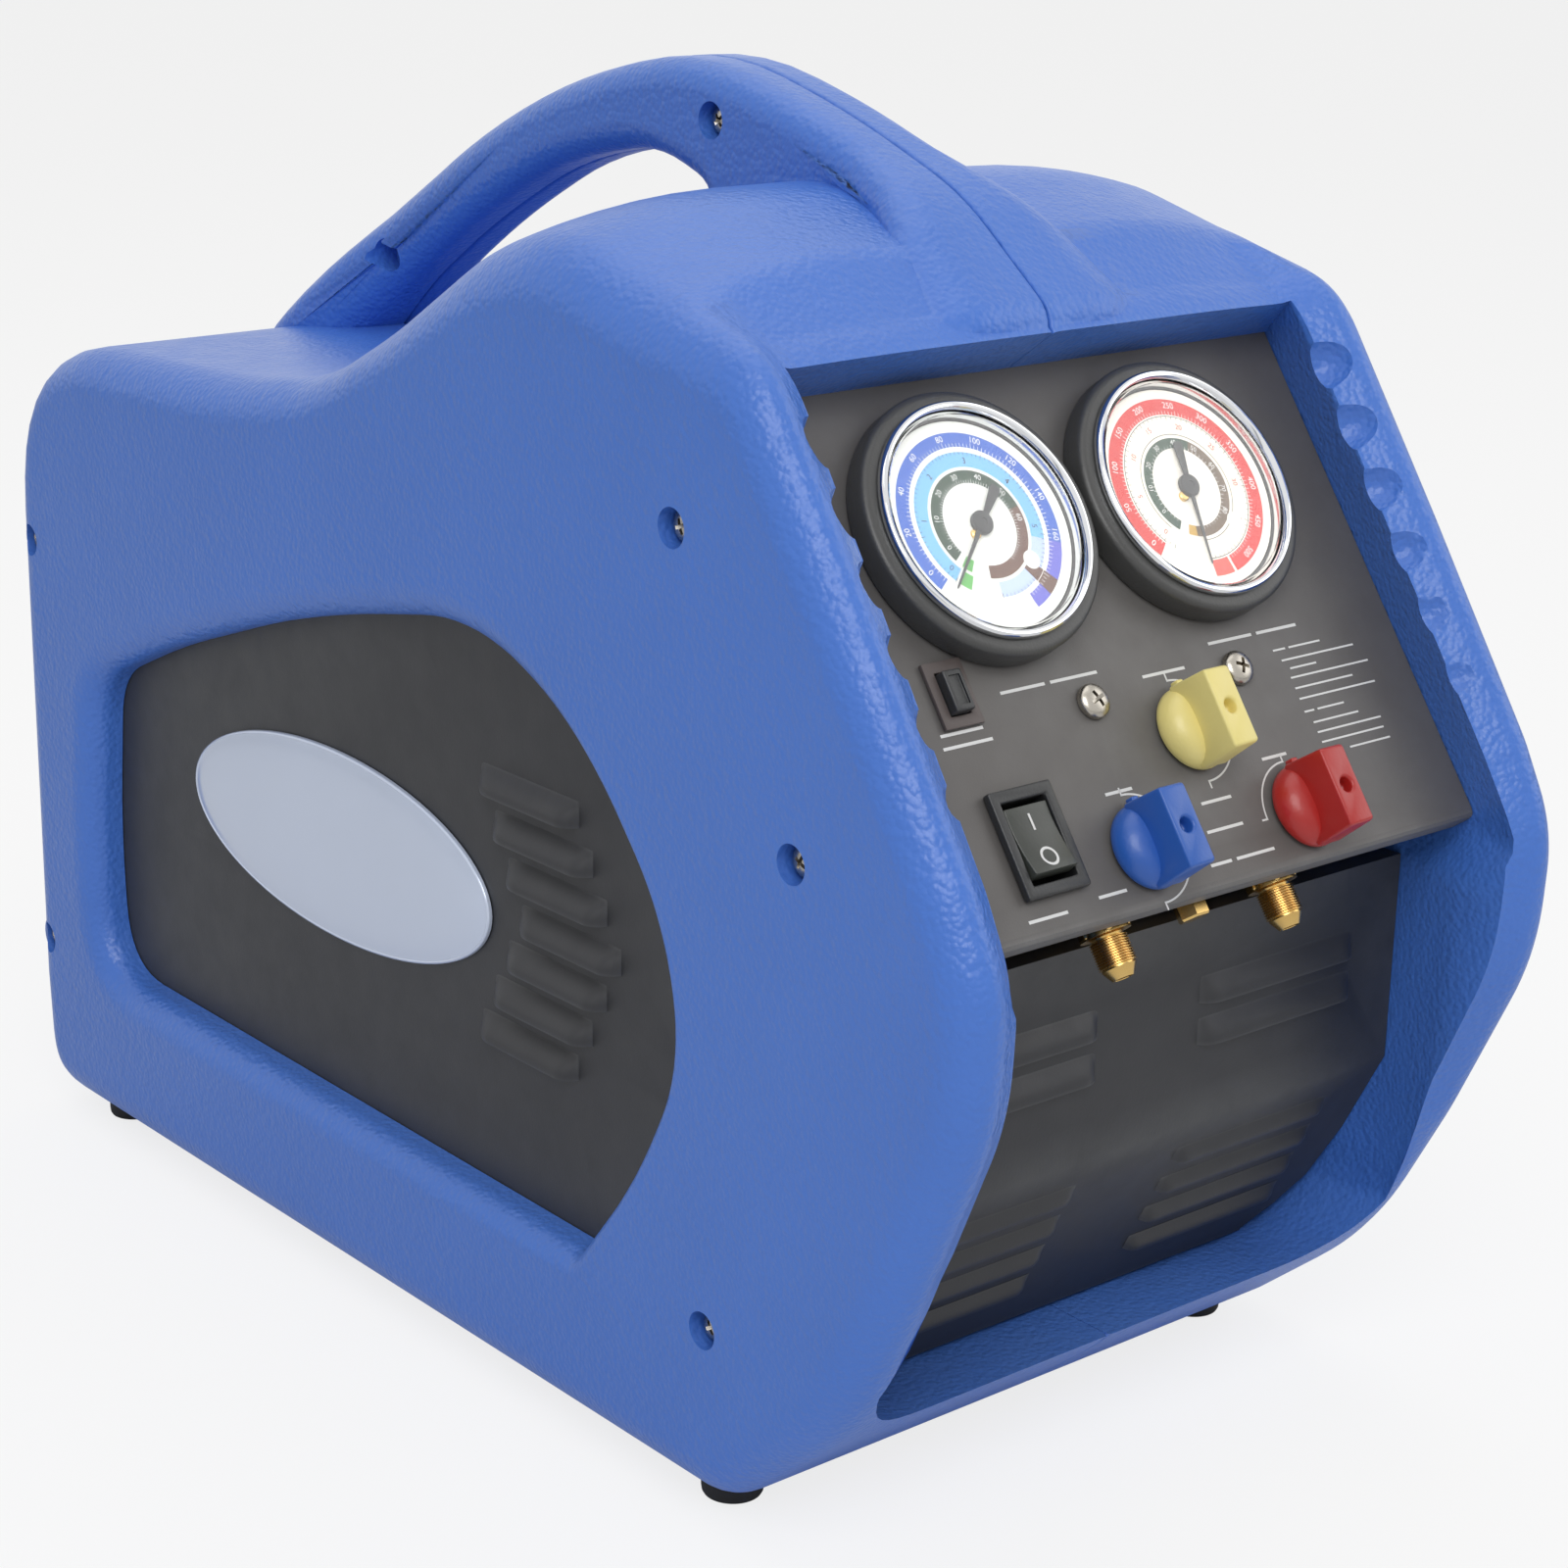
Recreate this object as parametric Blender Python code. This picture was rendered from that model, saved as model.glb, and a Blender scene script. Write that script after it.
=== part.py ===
"""Refrigerant recovery machine, built as separate pieces in one frame.

The frame: +X is the machine's right as its control panel is faced, the panel
faces -Y, +Z is up. The origin is at bottom centre, with the feet on Z = 0.
Sizes are written in millimetres and turned into metres when a mesh is made.
"""
import math

import bmesh
import bpy
from mathutils import Matrix, Vector

MM = 0.001
GAP = 0.3

# Shell sizes
HALF_WIDTH = 115.0
WALL = 3.5
FACE_ROUND = 14.0
CROWN = 2.0
SHOULDER = 12.0
SEAM = 0.15
GROUND = 3.0
MIDDLE_Y = 2.83
BASE = 11.0
REAR_Y = 242.0
FRAME_SIDE = 11.5
OPENING_HALF = HALF_WIDTH - FRAME_SIDE
OPENING_BOTTOM = 44.0
OPENING_TOP = 324.0

# Side windows: the sheet lies deep in a rolled lip
RECESS = 13.8
SIDE_FACE = HALF_WIDTH - RECESS
LIP_DEPTH = 9.0
LIP_WIDTH = 11.0
BADGE_AT = (61.3, 146.5)
BADGE_HALF = (83.7, 30.8)

# Handle sizes
GRIP_HALF = 17.0
GRIP_ROUND = 9.0

# Control panel sizes, in its own tilted frame
TILT = math.radians(36.0)
PANEL_Y = -150.9
PANEL_Z = 277.4
PANEL_HALF = OPENING_HALF - GAP
PANEL_TOP = 55.0
PANEL_BOTTOM = -109.5
SHEET = 2.0

# Gauges
CASE_R = 31.0
RING_R = CASE_R + 3.0
FLANGE_R = CASE_R + 6.3
DIAL_R = CASE_R - 1.4
GAUGE_X = FLANGE_R + 1.9
DIAL_FACE = 6.4
LENS = 1.1
NEEDLE_REST = (224.0, 261.0)

# Valve knobs: name, across, up the panel
KNOBS = (("yellow", 9.5, -65.6), ("blue", -22.8, -93.4), ("red", 38.8, -94.2))
KNOB_R = 11.9
KNOB_TOP = 18.5
KNOB_SHOULDER = 9.2
STEM_R = 3.0
PORT_X = (-30.5, 34.5)
PORT_DEPTH = -17.5

PANEL_SCREWS = ((-20.0, -52.0), (36.0, -52.0))

# Switch and breaker
SWITCH_AT = (-58.0, -84.4)
SWITCH_SIZE = (22.0, 29.5)
ROCKER_SIZE = (15.0, 21.0)
BREAKER_AT = (-GAUGE_X - 26.4, -FLANGE_R - 4.4)
BREAKER_SIZE = (13.4, 18.4)
BUTTON_SIZE = (6.5, 11.5)

# Feet and chassis
FOOT_R = 9.0
FOOT_X = HALF_WIDTH - 21.0
FOOT_Y = (-128.0, 211.0)
CHASSIS_Y = -190.0

# Inside
SHAFT_Z = 122.0
FAN_R = 70.0
FAN_Y = 150.0
MOTOR_R = 48.0
GRILLE_HALF = 80.0
GRILLE_LOW = 58.0
GRILLE_HIGH = 186.0
INLET_AT = (-62.0, 203.0)
TRAY_HALF = HALF_WIDTH - 18.0
COIL_HALF = HALF_WIDTH - 33.0
LINE_X = COIL_HALF - 16.0

# Side outlines: along Y, up Z, corner radius
BODY_CORNERS = (
    (-144, BASE, 24), (-190, 50, 120), (-214, 96, 200), (-239, 152, 90), (-240, 190, 50),
    (-228, 214, 50), (-190, 271, 60), (-149, 331, 9), (-112, 345, 40),
    (-62, 357, 60), (-26, 347, 60), (20, 316, 60), (56, 294, 60), (110, 286, 60),
    (REAR_Y, 281, 62), (REAR_Y, 54, 60), (239, BASE, 34), (150, BASE, 0),
)
INNER_FRONT = (
    (-94, 400), (-99.5, 328), (-197, 193.5), (-178, 165), (-178, 106), (-150, 48),
    (-138, -20), (330, -20), (330, 400),
)
HANDLE_CORNERS = (
    (230, 222, 8), (227, 266, 40), (182, 306, 60), (110, 352, 90), (62, 374, 60), (0, 388, 70),
    (-58, 374, 90), (-104, 358, 90), (-141, 331, 12), (-136, 296, 8), (-60, 290, 8), (6, 290, 6),
    (4, 350, 10), (30, 358, 40), (70, 349, 60), (118, 323, 60), (152, 300, 60), (184, 272, 40),
    (190, 222, 10),
)
WINDOW_CORNERS = (
    (-78, 62.4, 7), (-105.5, 96.5, 400), (-125.5, 138, 400), (-117, 176, 400), (-82, 217, 400),
    (-26, 239, 400), (65, 220.5, 900), (150, 190.5, 400), (193, 171, 26), (199, 112, 400), (195.5, 64.9, 24),
)
SHELL_SCREWS = ((-122, 284), (-172, 207), (-139, 64), (230, 212), (231, 68))
HANDLE_SCREW = (-14.0, 370.7)
HANDLE_REAR_POCKET = (154.5, 310.5)
POCKET_R = 5.5
POCKET_FLOOR = 6.0
SCREW_HOLE_R = 2.6

PIECES = {}
PANEL_FRAME = Matrix((
    (1.0, 0.0, 0.0, 0.0),
    (0.0, math.sin(TILT), -math.cos(TILT), PANEL_Y),
    (0.0, math.cos(TILT), math.sin(TILT), PANEL_Z),
    (0.0, 0.0, 0.0, 1.0),
))
COLOURS = {
    "blue_plastic": ((0.075, 0.205, 0.53), 0.0, 0.5),
    "black_steel": ((0.045, 0.045, 0.048), 0.3, 0.5),
    "panel_steel": ((0.085, 0.08, 0.078), 0.3, 0.5),
    "rubber": ((0.02, 0.02, 0.02), 0.0, 0.8),
    "chrome": ((0.75, 0.76, 0.78), 1.0, 0.12),
    "black_plastic": ((0.03, 0.03, 0.032), 0.0, 0.45),
    "grey_plastic": ((0.12, 0.13, 0.12), 0.0, 0.5),
    "brass": ((0.72, 0.53, 0.22), 1.0, 0.3),
    "steel": ((0.55, 0.55, 0.56), 1.0, 0.35),
    "aluminium": ((0.6, 0.61, 0.62), 1.0, 0.4),
    "copper": ((0.72, 0.38, 0.24), 1.0, 0.3),
    "glass": ((0.8, 0.85, 0.86), 0.0, 0.05),
    "dial_white": ((0.8, 0.8, 0.78), 0.0, 0.6),
    "badge": ((0.6, 0.66, 0.8), 0.0, 0.25),
    "yellow": ((0.8, 0.7, 0.2), 0.0, 0.45),
    "blue": ((0.04, 0.14, 0.5), 0.0, 0.45),
    "red": ((0.38, 0.02, 0.02), 0.0, 0.45),
    "grey_paint": ((0.2, 0.21, 0.22), 0.2, 0.5),
}


def clear_scene():
    for old in list(bpy.data.objects):
        bpy.data.objects.remove(old, do_unlink=True)


def raw_object(bm, name="work"):
    bmesh.ops.recalc_face_normals(bm, faces=bm.faces)
    mesh = bpy.data.meshes.new(name)
    bm.to_mesh(mesh)
    bm.free()
    thing = bpy.data.objects.new(name, mesh)
    bpy.context.collection.objects.link(thing)
    return thing


def bake(thing):
    """Apply every modifier on an object and keep the resulting mesh."""
    graph = bpy.context.evaluated_depsgraph_get()
    mesh = bpy.data.meshes.new_from_object(thing.evaluated_get(graph))
    thing.modifiers.clear()
    old = thing.data
    thing.data = mesh
    bpy.data.meshes.remove(old)
    return thing


def combine(thing, other, operation):
    modifier = thing.modifiers.new("cut", "BOOLEAN")
    modifier.operation = operation
    modifier.solver = "EXACT"
    modifier.object = other
    bake(thing)
    old = other.data
    bpy.data.objects.remove(other, do_unlink=True)
    bpy.data.meshes.remove(old)
    return thing


def cut(thing, *others):
    for other in others:
        combine(thing, other, "DIFFERENCE")
    return thing


def weld(thing, *others):
    for other in others:
        combine(thing, other, "UNION")
    return thing


def place(thing, matrix):
    thing.data.transform(matrix)
    if matrix.determinant() < 0:
        thing.data.flip_normals()
    return thing


def keep(thing, name, colour, pivot=(0.0, 0.0, 0.0), sharp=35.0):
    """Finish a piece: metres, origin on its pivot, its own material."""
    bm = bmesh.new()
    bm.from_mesh(thing.data)
    bmesh.ops.remove_doubles(bm, verts=bm.verts, dist=0.004)
    bmesh.ops.dissolve_degenerate(bm, dist=0.004, edges=bm.edges)
    bmesh.ops.triangulate(bm, faces=[f for f in bm.faces if len(f.verts) > 4])
    bmesh.ops.translate(bm, verts=bm.verts, vec=-Vector(pivot))
    bmesh.ops.scale(bm, verts=bm.verts, vec=(MM, MM, MM))
    limit = math.radians(sharp)
    for face in bm.faces:
        face.smooth = True
    for edge in bm.edges:
        edge.smooth = len(edge.link_faces) == 2 and edge.calc_face_angle(3.0) < limit
    bm.to_mesh(thing.data)
    bm.free()
    base, metal, rough = COLOURS[colour]
    material = bpy.data.materials.new(name + "_finish")
    material.use_nodes = True
    shader = material.node_tree.nodes["Principled BSDF"]
    shader.inputs["Base Color"].default_value = (*base, 1.0)
    shader.inputs["Metallic"].default_value = metal
    shader.inputs["Roughness"].default_value = rough
    thing.data.materials.clear()
    thing.data.materials.append(material)
    thing.name = name
    thing.data.name = name
    thing.location = (Vector(pivot) - Vector((0.0, MIDDLE_Y, GROUND))) * MM
    PIECES[name] = thing
    return thing


def rounded(corners, steps=4):
    """Round a closed outline. Each corner is (a, b, radius)."""
    outline = []
    count = len(corners)
    for i, (a, b, radius) in enumerate(corners):
        here = Vector((a, b))
        before = Vector(corners[i - 1][:2]) - here
        after = Vector(corners[(i + 1) % count][:2]) - here
        half = before.angle(after) / 2
        reach = min(radius / math.tan(half), before.length * 0.49, after.length * 0.49)
        if radius <= 0 or reach < 0.05:
            outline.append(here)
            continue
        start = here + before.normalized() * reach
        end = here + after.normalized() * reach
        for k in range(steps + 1):
            t = k / steps
            outline.append(start * (1 - t) ** 2 + here * 2 * t * (1 - t) + end * t ** 2)
    return outline


def turning(outline):
    area = sum(outline[i - 1].cross(outline[i]) for i in range(len(outline)))
    return 1.0 if area > 0 else -1.0


def inset(outline, distance):
    """Shrink a closed outline in small steps, easing points that crowd together."""
    turn = turning(outline)
    count = len(outline)
    points = list(outline)
    steps = max(1, math.ceil(abs(distance) / 0.8))
    move = distance / steps
    for _ in range(steps):
        moved = []
        for i, point in enumerate(points):
            before = (point - points[i - 1]).normalized()
            after = (points[(i + 1) % count] - point).normalized()
            chord = before + after
            normal = Vector((-chord.y, chord.x)).normalized() * turn
            moved.append(point + normal * move)
        eased = list(moved)
        for i, point in enumerate(moved):
            before = moved[i - 1]
            after = moved[(i + 1) % count]
            ahead = (outline[(i + 1) % count] - outline[i]).length
            spacing = min(ahead, (outline[i] - outline[i - 1]).length)
            nearest = min((after - point).length, (before - point).length)
            if nearest < 0.45 * spacing:
                eased[i] = point.lerp((before + after) / 2, 0.5)
        points = eased
    return points


def loft(rings):
    """A closed body through rings of equal point count, capped at both ends."""
    bm = bmesh.new()
    rows = [[bm.verts.new(p) for p in ring] for ring in rings]
    count = len(rows[0])
    for low, high in zip(rows, rows[1:]):
        for i in range(count):
            j = (i + 1) % count
            bm.faces.new((low[i], low[j], high[j], high[i]))
    bm.faces.new(rows[0])
    bm.faces.new(rows[-1])
    return raw_object(bm)


def slab(outline, low, high, axis="X"):
    """Extrude an outline along one axis. X takes (y, z), Y (x, z), Z (x, y)."""
    def spot(p, depth):
        if axis == "X":
            return (depth, p[0], p[1])
        if axis == "Y":
            return (p[0], depth, p[1])
        return (p[0], p[1], depth)
    return loft([[spot(p, low) for p in outline], [spot(p, high) for p in outline]])


def box(x, y, z):
    outline = [(x[0], y[0]), (x[1], y[0]), (x[1], y[1]), (x[0], y[1])]
    return slab(outline, z[0], z[1], "Z")


def soft_box(x, y, z, edge, steps=2):
    thing = box(x, y, z)
    modifier = thing.modifiers.new("edge", "BEVEL")
    modifier.width = edge
    modifier.segments = steps
    modifier.limit_method = "ANGLE"
    return bake(thing)


def turned(profile, segments=40, axis="Z", at=(0.0, 0.0, 0.0)):
    """Turn a closed (radius, height) profile about an axis. Radius 0 is a tip."""
    bm = bmesh.new()
    rows = []
    for radius, height in profile:
        if radius < 1e-6:
            rows.append([bm.verts.new((0, 0, height))])
            continue
        angles = [2 * math.pi * k / segments for k in range(segments)]
        circle = [(radius * math.cos(a), radius * math.sin(a), height) for a in angles]
        rows.append([bm.verts.new(p) for p in circle])
    count = len(rows)
    hollow = all(len(row) > 1 for row in rows)
    for i in range(count if hollow else count - 1):
        low, high = rows[i], rows[(i + 1) % count]
        for k in range(segments):
            m = (k + 1) % segments
            corners = [low[k % len(low)], low[m % len(low)], high[m % len(high)], high[k % len(high)]]
            unique = list(dict.fromkeys(corners))
            if len(unique) > 2:
                bm.faces.new(unique)
    thing = raw_object(bm)
    if axis == "X":
        place(thing, Matrix.Rotation(math.pi / 2, 4, "Y"))
    if axis == "Y":
        place(thing, Matrix.Rotation(-math.pi / 2, 4, "X"))
    return place(thing, Matrix.Translation(at))


def rod(radius, low, high, segments=32, axis="Z", at=(0.0, 0.0, 0.0)):
    return turned([(0, low), (radius, low), (radius, high), (0, high)], segments, axis, at)


def hull(points):
    bm = bmesh.new()
    for p in points:
        bm.verts.new(p)
    bmesh.ops.convex_hull(bm, input=bm.verts)
    loose = [v for v in bm.verts if not v.link_faces]
    bmesh.ops.delete(bm, geom=loose, context="VERTS")
    return raw_object(bm)


def gather(things):
    """Put separate bodies in one object, for use as one cutter."""
    bm = bmesh.new()
    for thing in things:
        bm.from_mesh(thing.data)
        bpy.data.objects.remove(thing, do_unlink=True)
    return raw_object(bm)


def on_panel(thing):
    return place(thing, PANEL_FRAME)


def pivot_at(x, u, n):
    return tuple(PANEL_FRAME @ Vector((x, u, n)))


def smooth(low, high, value):
    t = min(max((value - low) / (high - low), 0.0), 1.0)
    return t * t * (3 - 2 * t)


def body_ring(outline, x, half_width):
    """A side outline at one distance out, with the hood easing down to its sides."""
    side = max(0.0, (x - 45.0) / (half_width - 45.0))
    ring = []
    for p in outline:
        hood = smooth(270, 345, p.y) * smooth(140, -20, p.x)
        front = 0.35 + 0.65 * smooth(-150, -95, p.x)
        ring.append((x, p.x, p.y + hood * (CROWN - SHOULDER * front * side * side)))
    return ring


def body_solid(depth):
    """The right half of the machine's outside, moved in by a depth."""
    fine = depth == 0
    outline = inset(rounded(BODY_CORNERS, 3 if fine else 1), depth)
    width = HALF_WIDTH - depth
    edge = FACE_ROUND - depth
    start = -2.0 if fine else -1.0
    steps = 4 if fine else 2
    rings = [body_ring(outline, x, width) for x in (start, 48.0, 78.0, width - edge)]
    for k in range(1, steps + 1):
        angle = math.pi / 2 * k / steps
        inner = inset(outline, edge * (1 - math.cos(angle)))
        rings.append(body_ring(inner, width - edge + edge * math.sin(angle), width))
    return loft(rings)


def opening_cutter():
    half = OPENING_HALF
    front = [
        (-half, OPENING_BOTTOM, 34), (half, OPENING_BOTTOM, 34),
        (half, OPENING_TOP, 4), (-half, OPENING_TOP, 4),
    ]
    return slab(rounded(front, 5), -330, -98, "Y")


def window_ring(outline, share, x):
    """The window's outline spread towards its lip, which is narrower at the front."""
    ring = []
    for point, far in zip(outline, inset(outline, -LIP_WIDTH)):
        wide = 0.4 + 0.6 * smooth(-100, -30, point.x)
        spot = point.lerp(far, share * wide)
        ring.append((x, spot.x, spot.y))
    return ring


def window_cutter():
    outline = rounded(WINDOW_CORNERS, 3)
    rings = [window_ring(outline, 1.12, HALF_WIDTH + 2.0)]
    for angle in (0, 30, 60, 90):
        turn = math.radians(angle)
        x = HALF_WIDTH - LIP_DEPTH * (1 - math.cos(turn))
        rings.append(window_ring(outline, 1 - math.sin(turn), x))
    rings.append(window_ring(outline, 0.0, SIDE_FACE - 6.0))
    return loft(rings)


def window_rim():
    """The wall that leads in from the shell's side to its black sheet."""
    outline = inset(rounded(WINDOW_CORNERS, 3), -WALL)
    wide = inset(outline, -LIP_WIDTH)
    rings = [[(SIDE_FACE + GAP, p.x, p.y) for p in outline]]
    rings.append([(HALF_WIDTH - LIP_DEPTH - 1.0, p.x, p.y) for p in outline])
    rings.append([(HALF_WIDTH - 2.0, p.x, p.y) for p in wide])
    return loft(rings)


def dimples():
    """Six finger scallops down the front edge of the side frame."""
    first = Vector((-165.0, 303.0))
    last = Vector((-215.5, 225.0))
    spots = [first.lerp(last, k / 5) for k in range(6)]
    scoops = []
    for spot in spots:
        profile = []
        for k in range(7):
            angle = -math.pi / 2 + math.pi * k / 6
            profile.append((8.6 * math.cos(angle) if 0 < k < 6 else 0.0, 12.0 * math.sin(angle)))
        scoop = turned(profile, 12)
        turn = Matrix.Rotation(math.radians(40), 4, "Z") @ Matrix.Rotation(math.radians(90), 4, "Y")
        place(scoop, Matrix.Translation((104.5, spot.x, spot.y)) @ turn)
        scoops.append(scoop)
    return scoops


def handle_solid():
    outline = rounded(HANDLE_CORNERS, 3)
    rings = []
    flat = GRIP_HALF - GRIP_ROUND
    depths = [(-3.0, 0.0), (flat, 0.0)]
    for k in range(1, 5):
        angle = math.pi / 2 * k / 4
        depths.append((flat + GRIP_ROUND * math.sin(angle), GRIP_ROUND * (1 - math.cos(angle))))
    for x, depth in depths:
        ring = inset(outline, depth)
        row = []
        for p in ring:
            flare = 1 + 1.3 * smooth(70, 140, -p.x) + 0.9 * smooth(140, 215, p.x)
            row.append((x if x < 0 else x * flare, p.x, p.y))
        rings.append(row)
    return loft(rings)


def rear_cutter():
    half = GRILLE_HALF - 6.0
    outline = [
        (-half, GRILLE_LOW + 6, 14), (half, GRILLE_LOW + 6, 14),
        (half, GRILLE_HIGH - 6, 14), (-half, GRILLE_HIGH - 6, 14),
    ]
    return slab(rounded(outline, 3), REAR_Y - 20, REAR_Y + 20, "Y")


def shell_half():
    shell = body_solid(0.0)
    cavity = combine(body_solid(WALL), slab(INNER_FRONT, -5, 200), "INTERSECT")
    weld(shell, handle_solid())
    cut(shell, cavity)
    weld(shell, window_rim())
    cut(shell, opening_cutter(), window_cutter())
    cut(shell, rear_cutter())
    cut(shell, *dimples(), box((-20, SEAM), (-400, 400), (-50, 500)))
    for y, z in SHELL_SCREWS:
        weld(shell, rod(7.5, HALF_WIDTH - 23.0, HALF_WIDTH - 3.0, 12, "X", (0.0, y, z)))
    for y, z in SHELL_SCREWS:
        cut(shell, rod(POCKET_R, HALF_WIDTH - POCKET_FLOOR, HALF_WIDTH + 30, 16, "X", (0.0, y, z)))
        cut(shell, rod(SCREW_HOLE_R, HALF_WIDTH - 30.0, HALF_WIDTH - 4.0, 10, "X", (0.0, y, z)))
    return shell


def mirrored(thing, name="work"):
    copy = bpy.data.objects.new(name, thing.data.copy())
    bpy.context.collection.objects.link(copy)
    return place(copy, Matrix.Scale(-1, 4, (1, 0, 0)))


def build_shells():
    right = shell_half()
    left = mirrored(right)
    x, z = INLET_AT
    cut(left, box((x - 14, x + 14), (REAR_Y - 30, REAR_Y + 30), (z - 10.5, z + 10.5)))
    for spot in (HANDLE_SCREW, HANDLE_REAR_POCKET):
        cut(left, rod(POCKET_R, -40, POCKET_FLOOR - GRIP_HALF, 16, "X", (0.0, *spot)))
    for half in (left, right):
        cut(half, rod(SCREW_HOLE_R, POCKET_FLOOR - GRIP_HALF - 1, 9, 10, "X", (0.0, *HANDLE_SCREW)))
    keep(right, "right_shell", "blue_plastic")
    keep(left, "left_shell", "blue_plastic")


def side_louvre(middle_y, middle_z, length):
    """One pressed hood on a side panel, its lip below and its ends rounded."""
    half = length / 2
    out = SIDE_FACE
    tip = out + 4.6
    points = []
    for sign in (-1, 1):
        points.append((out - 0.4, middle_y + sign * half, middle_z + 4.4))
        points.append((out - 0.4, middle_y + sign * half, middle_z - 3.0))
        points.append((tip, middle_y + sign * (half - 5.0), middle_z - 3.0))
        points.append((tip - 0.6, middle_y + sign * (half - 6.0), middle_z - 0.5))
        points.append((out + 1.6, middle_y + sign * (half - 1.6), middle_z - 3.0))
        points.append((out + 1.2, middle_y + sign * (half - 2.6), middle_z + 2.6))
    return hull(points)


def side_panel():
    outline = inset(rounded(WINDOW_CORNERS, 3), -6.0)
    outer = SIDE_FACE
    plate = slab(outline, outer - SHEET, outer, "X")
    hoods = []
    slots = []
    for row in range(7):
        y = -60.5 + 6.6 * abs(row - 3)
        z = 188.4 - 12.7 * row
        hoods.append(side_louvre(y, z, 47.5))
        slots.append(box((outer - 9, outer + 2.4), (y - 18.0, y + 18.0), (z - 5.0, z - 1.2)))
    weld(plate, gather(hoods))
    return cut(plate, gather(slots))


def build_side_panels():
    right = side_panel()
    left = mirrored(right)
    keep(right, "right_side_panel", "black_steel")
    keep(left, "left_side_panel", "black_steel")
    for name, sign in (("left_badge", -1), ("right_badge", 1)):
        rings = []
        face = SIDE_FACE + GAP
        for size, depth in ((1.0, 0.0), (1.0, 0.9), (0.95, 2.1), (0.75, 3.1)):
            ring = []
            for k in range(36):
                angle = 2 * math.pi * k / 36
                y = BADGE_AT[0] + BADGE_HALF[0] * size * math.cos(angle)
                z = BADGE_AT[1] + BADGE_HALF[1] * size * math.sin(angle)
                ring.append((sign * (face + depth), y, z))
            rings.append(ring)
        keep(loft(rings), name, "badge")


def sheet_strip(path, thickness):
    """A closed outline for folded sheet that follows a path of points."""
    points = [Vector(p) for p in path]
    far = []
    for i, point in enumerate(points):
        before = (point - points[i - 1]).normalized() if i else (points[1] - point).normalized()
        after = (points[i + 1] - point).normalized() if i + 1 < len(points) else before
        side = (Vector((-before.y, before.x)) + Vector((-after.y, after.x))).normalized()
        stretch = 1.0 / max(side.dot(Vector((-before.y, before.x))), 0.5)
        far.append(point + side * thickness * stretch)
    return points + far[::-1]


def front_louvre(x, z, tall, out):
    half = 32.0
    points = []
    for sign in (-1, 1):
        points.append((x + sign * half, CHASSIS_Y + 0.4, z + tall * 0.55))
        points.append((x + sign * half, CHASSIS_Y + 0.4, z - tall * 0.45))
        points.append((x + sign * (half - 3.5), CHASSIS_Y - out, z - tall * 0.45))
        points.append((x + sign * (half - 4.5), CHASSIS_Y - out + 0.5, z - tall * 0.15))
    return hull(points)


def lower_frame():
    """Turns the upright chassis frame onto its sloping lower part."""
    fold = Vector((0.0, CHASSIS_Y, 107.0))
    lean = math.atan2(31.0, 62.0)
    turn = Matrix.Rotation(lean, 4, "X")
    return Matrix.Translation(fold) @ turn @ Matrix.Translation(-fold)


def build_front_chassis():
    path = [(CHASSIS_Y + 12, 170.5), (CHASSIS_Y, 170.5), (CHASSIS_Y, 107), (-159, 45.5), (-143, 45.5)]
    side = OPENING_HALF - GAP
    outline = sheet_strip(path, SHEET)
    plate = slab(outline, -side, side, "X")
    hoods = []
    slots = []
    for sign in (-1, 1):
        x = sign * OPENING_HALF / 2
        for z in (147.0, 134.5):
            hoods.append(front_louvre(x, z, 8.0, 3.2))
            slots.append(box((x - 27, x + 27), (CHASSIS_Y - 2.2, CHASSIS_Y + 9), (z - 5.4, z - 2.4)))
        for row in range(4):
            z = 94.0 - 12.6 * row
            hoods.append(place(front_louvre(x, z, 5.0, 2.6), lower_frame()))
            slot = box((x - 27, x + 27), (CHASSIS_Y - 1.8, CHASSIS_Y + 9), (z - 4.2, z - 1.4))
            slots.append(place(slot, lower_frame()))
    weld(plate, gather(hoods))
    cut(plate, gather(slots))
    for sign in (-1, 1):
        notch = [(sign * side, 79.5), (sign * (side - 4.5), 61.5), (sign * (side - 14), 52.5),
                 (sign * (side - 24), 46.5)]
        outer = [(sign * (side - 24), 20.0), (sign * 140, 20.0), (sign * 140, 79.5)]
        cut(plate, slab(notch + outer, CHASSIS_Y - 10, -120, "Y"))
    keep(plate, "lower_front_panel", "black_steel")


def build_control_panel():
    """The tilted sheet, with side flanges, a bottom return and its cut-outs."""
    low = PANEL_BOTTOM
    fold = rounded([
        (PANEL_TOP, 0, 0), (low, 0, 2.6), (low, -9, 0), (low + SHEET, -9, 0),
        (low + SHEET, -SHEET, 0.8), (PANEL_TOP, -SHEET, 0),
    ], 3)
    plate = slab(fold, -PANEL_HALF, PANEL_HALF, "X")
    for sign in (-1, 1):
        inner = sorted((sign * (PANEL_HALF - 0.01), sign * (PANEL_HALF - SHEET)))
        weld(plate, box(inner, (low + 4, PANEL_TOP - 1), (-11.0, -0.5)))
    holes = [rod(CASE_R + GAP + 0.15, -20, 10, 36, "Z", (sign * GAUGE_X, 0, 0)) for sign in (-1, 1)]
    holes += [rod(STEM_R + 1.6, -20, 10, 12, "Z", (x, u, 0)) for _, x, u in KNOBS]
    holes += [rod(2.3, -20, 10, 10, "Z", (x, u, 0)) for x, u in PANEL_SCREWS]
    for at, size, trim in ((SWITCH_AT, SWITCH_SIZE, 2.2), (BREAKER_AT, BREAKER_SIZE, 2.4)):
        half = (size[0] / 2 - trim, size[1] / 2 - trim)
        holes.append(box((at[0] - half[0], at[0] + half[0]), (at[1] - half[1], at[1] + half[1]), (-20, 10)))
    cut(plate, gather(holes))
    keep(on_panel(plate), "control_panel", "panel_steel")


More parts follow.
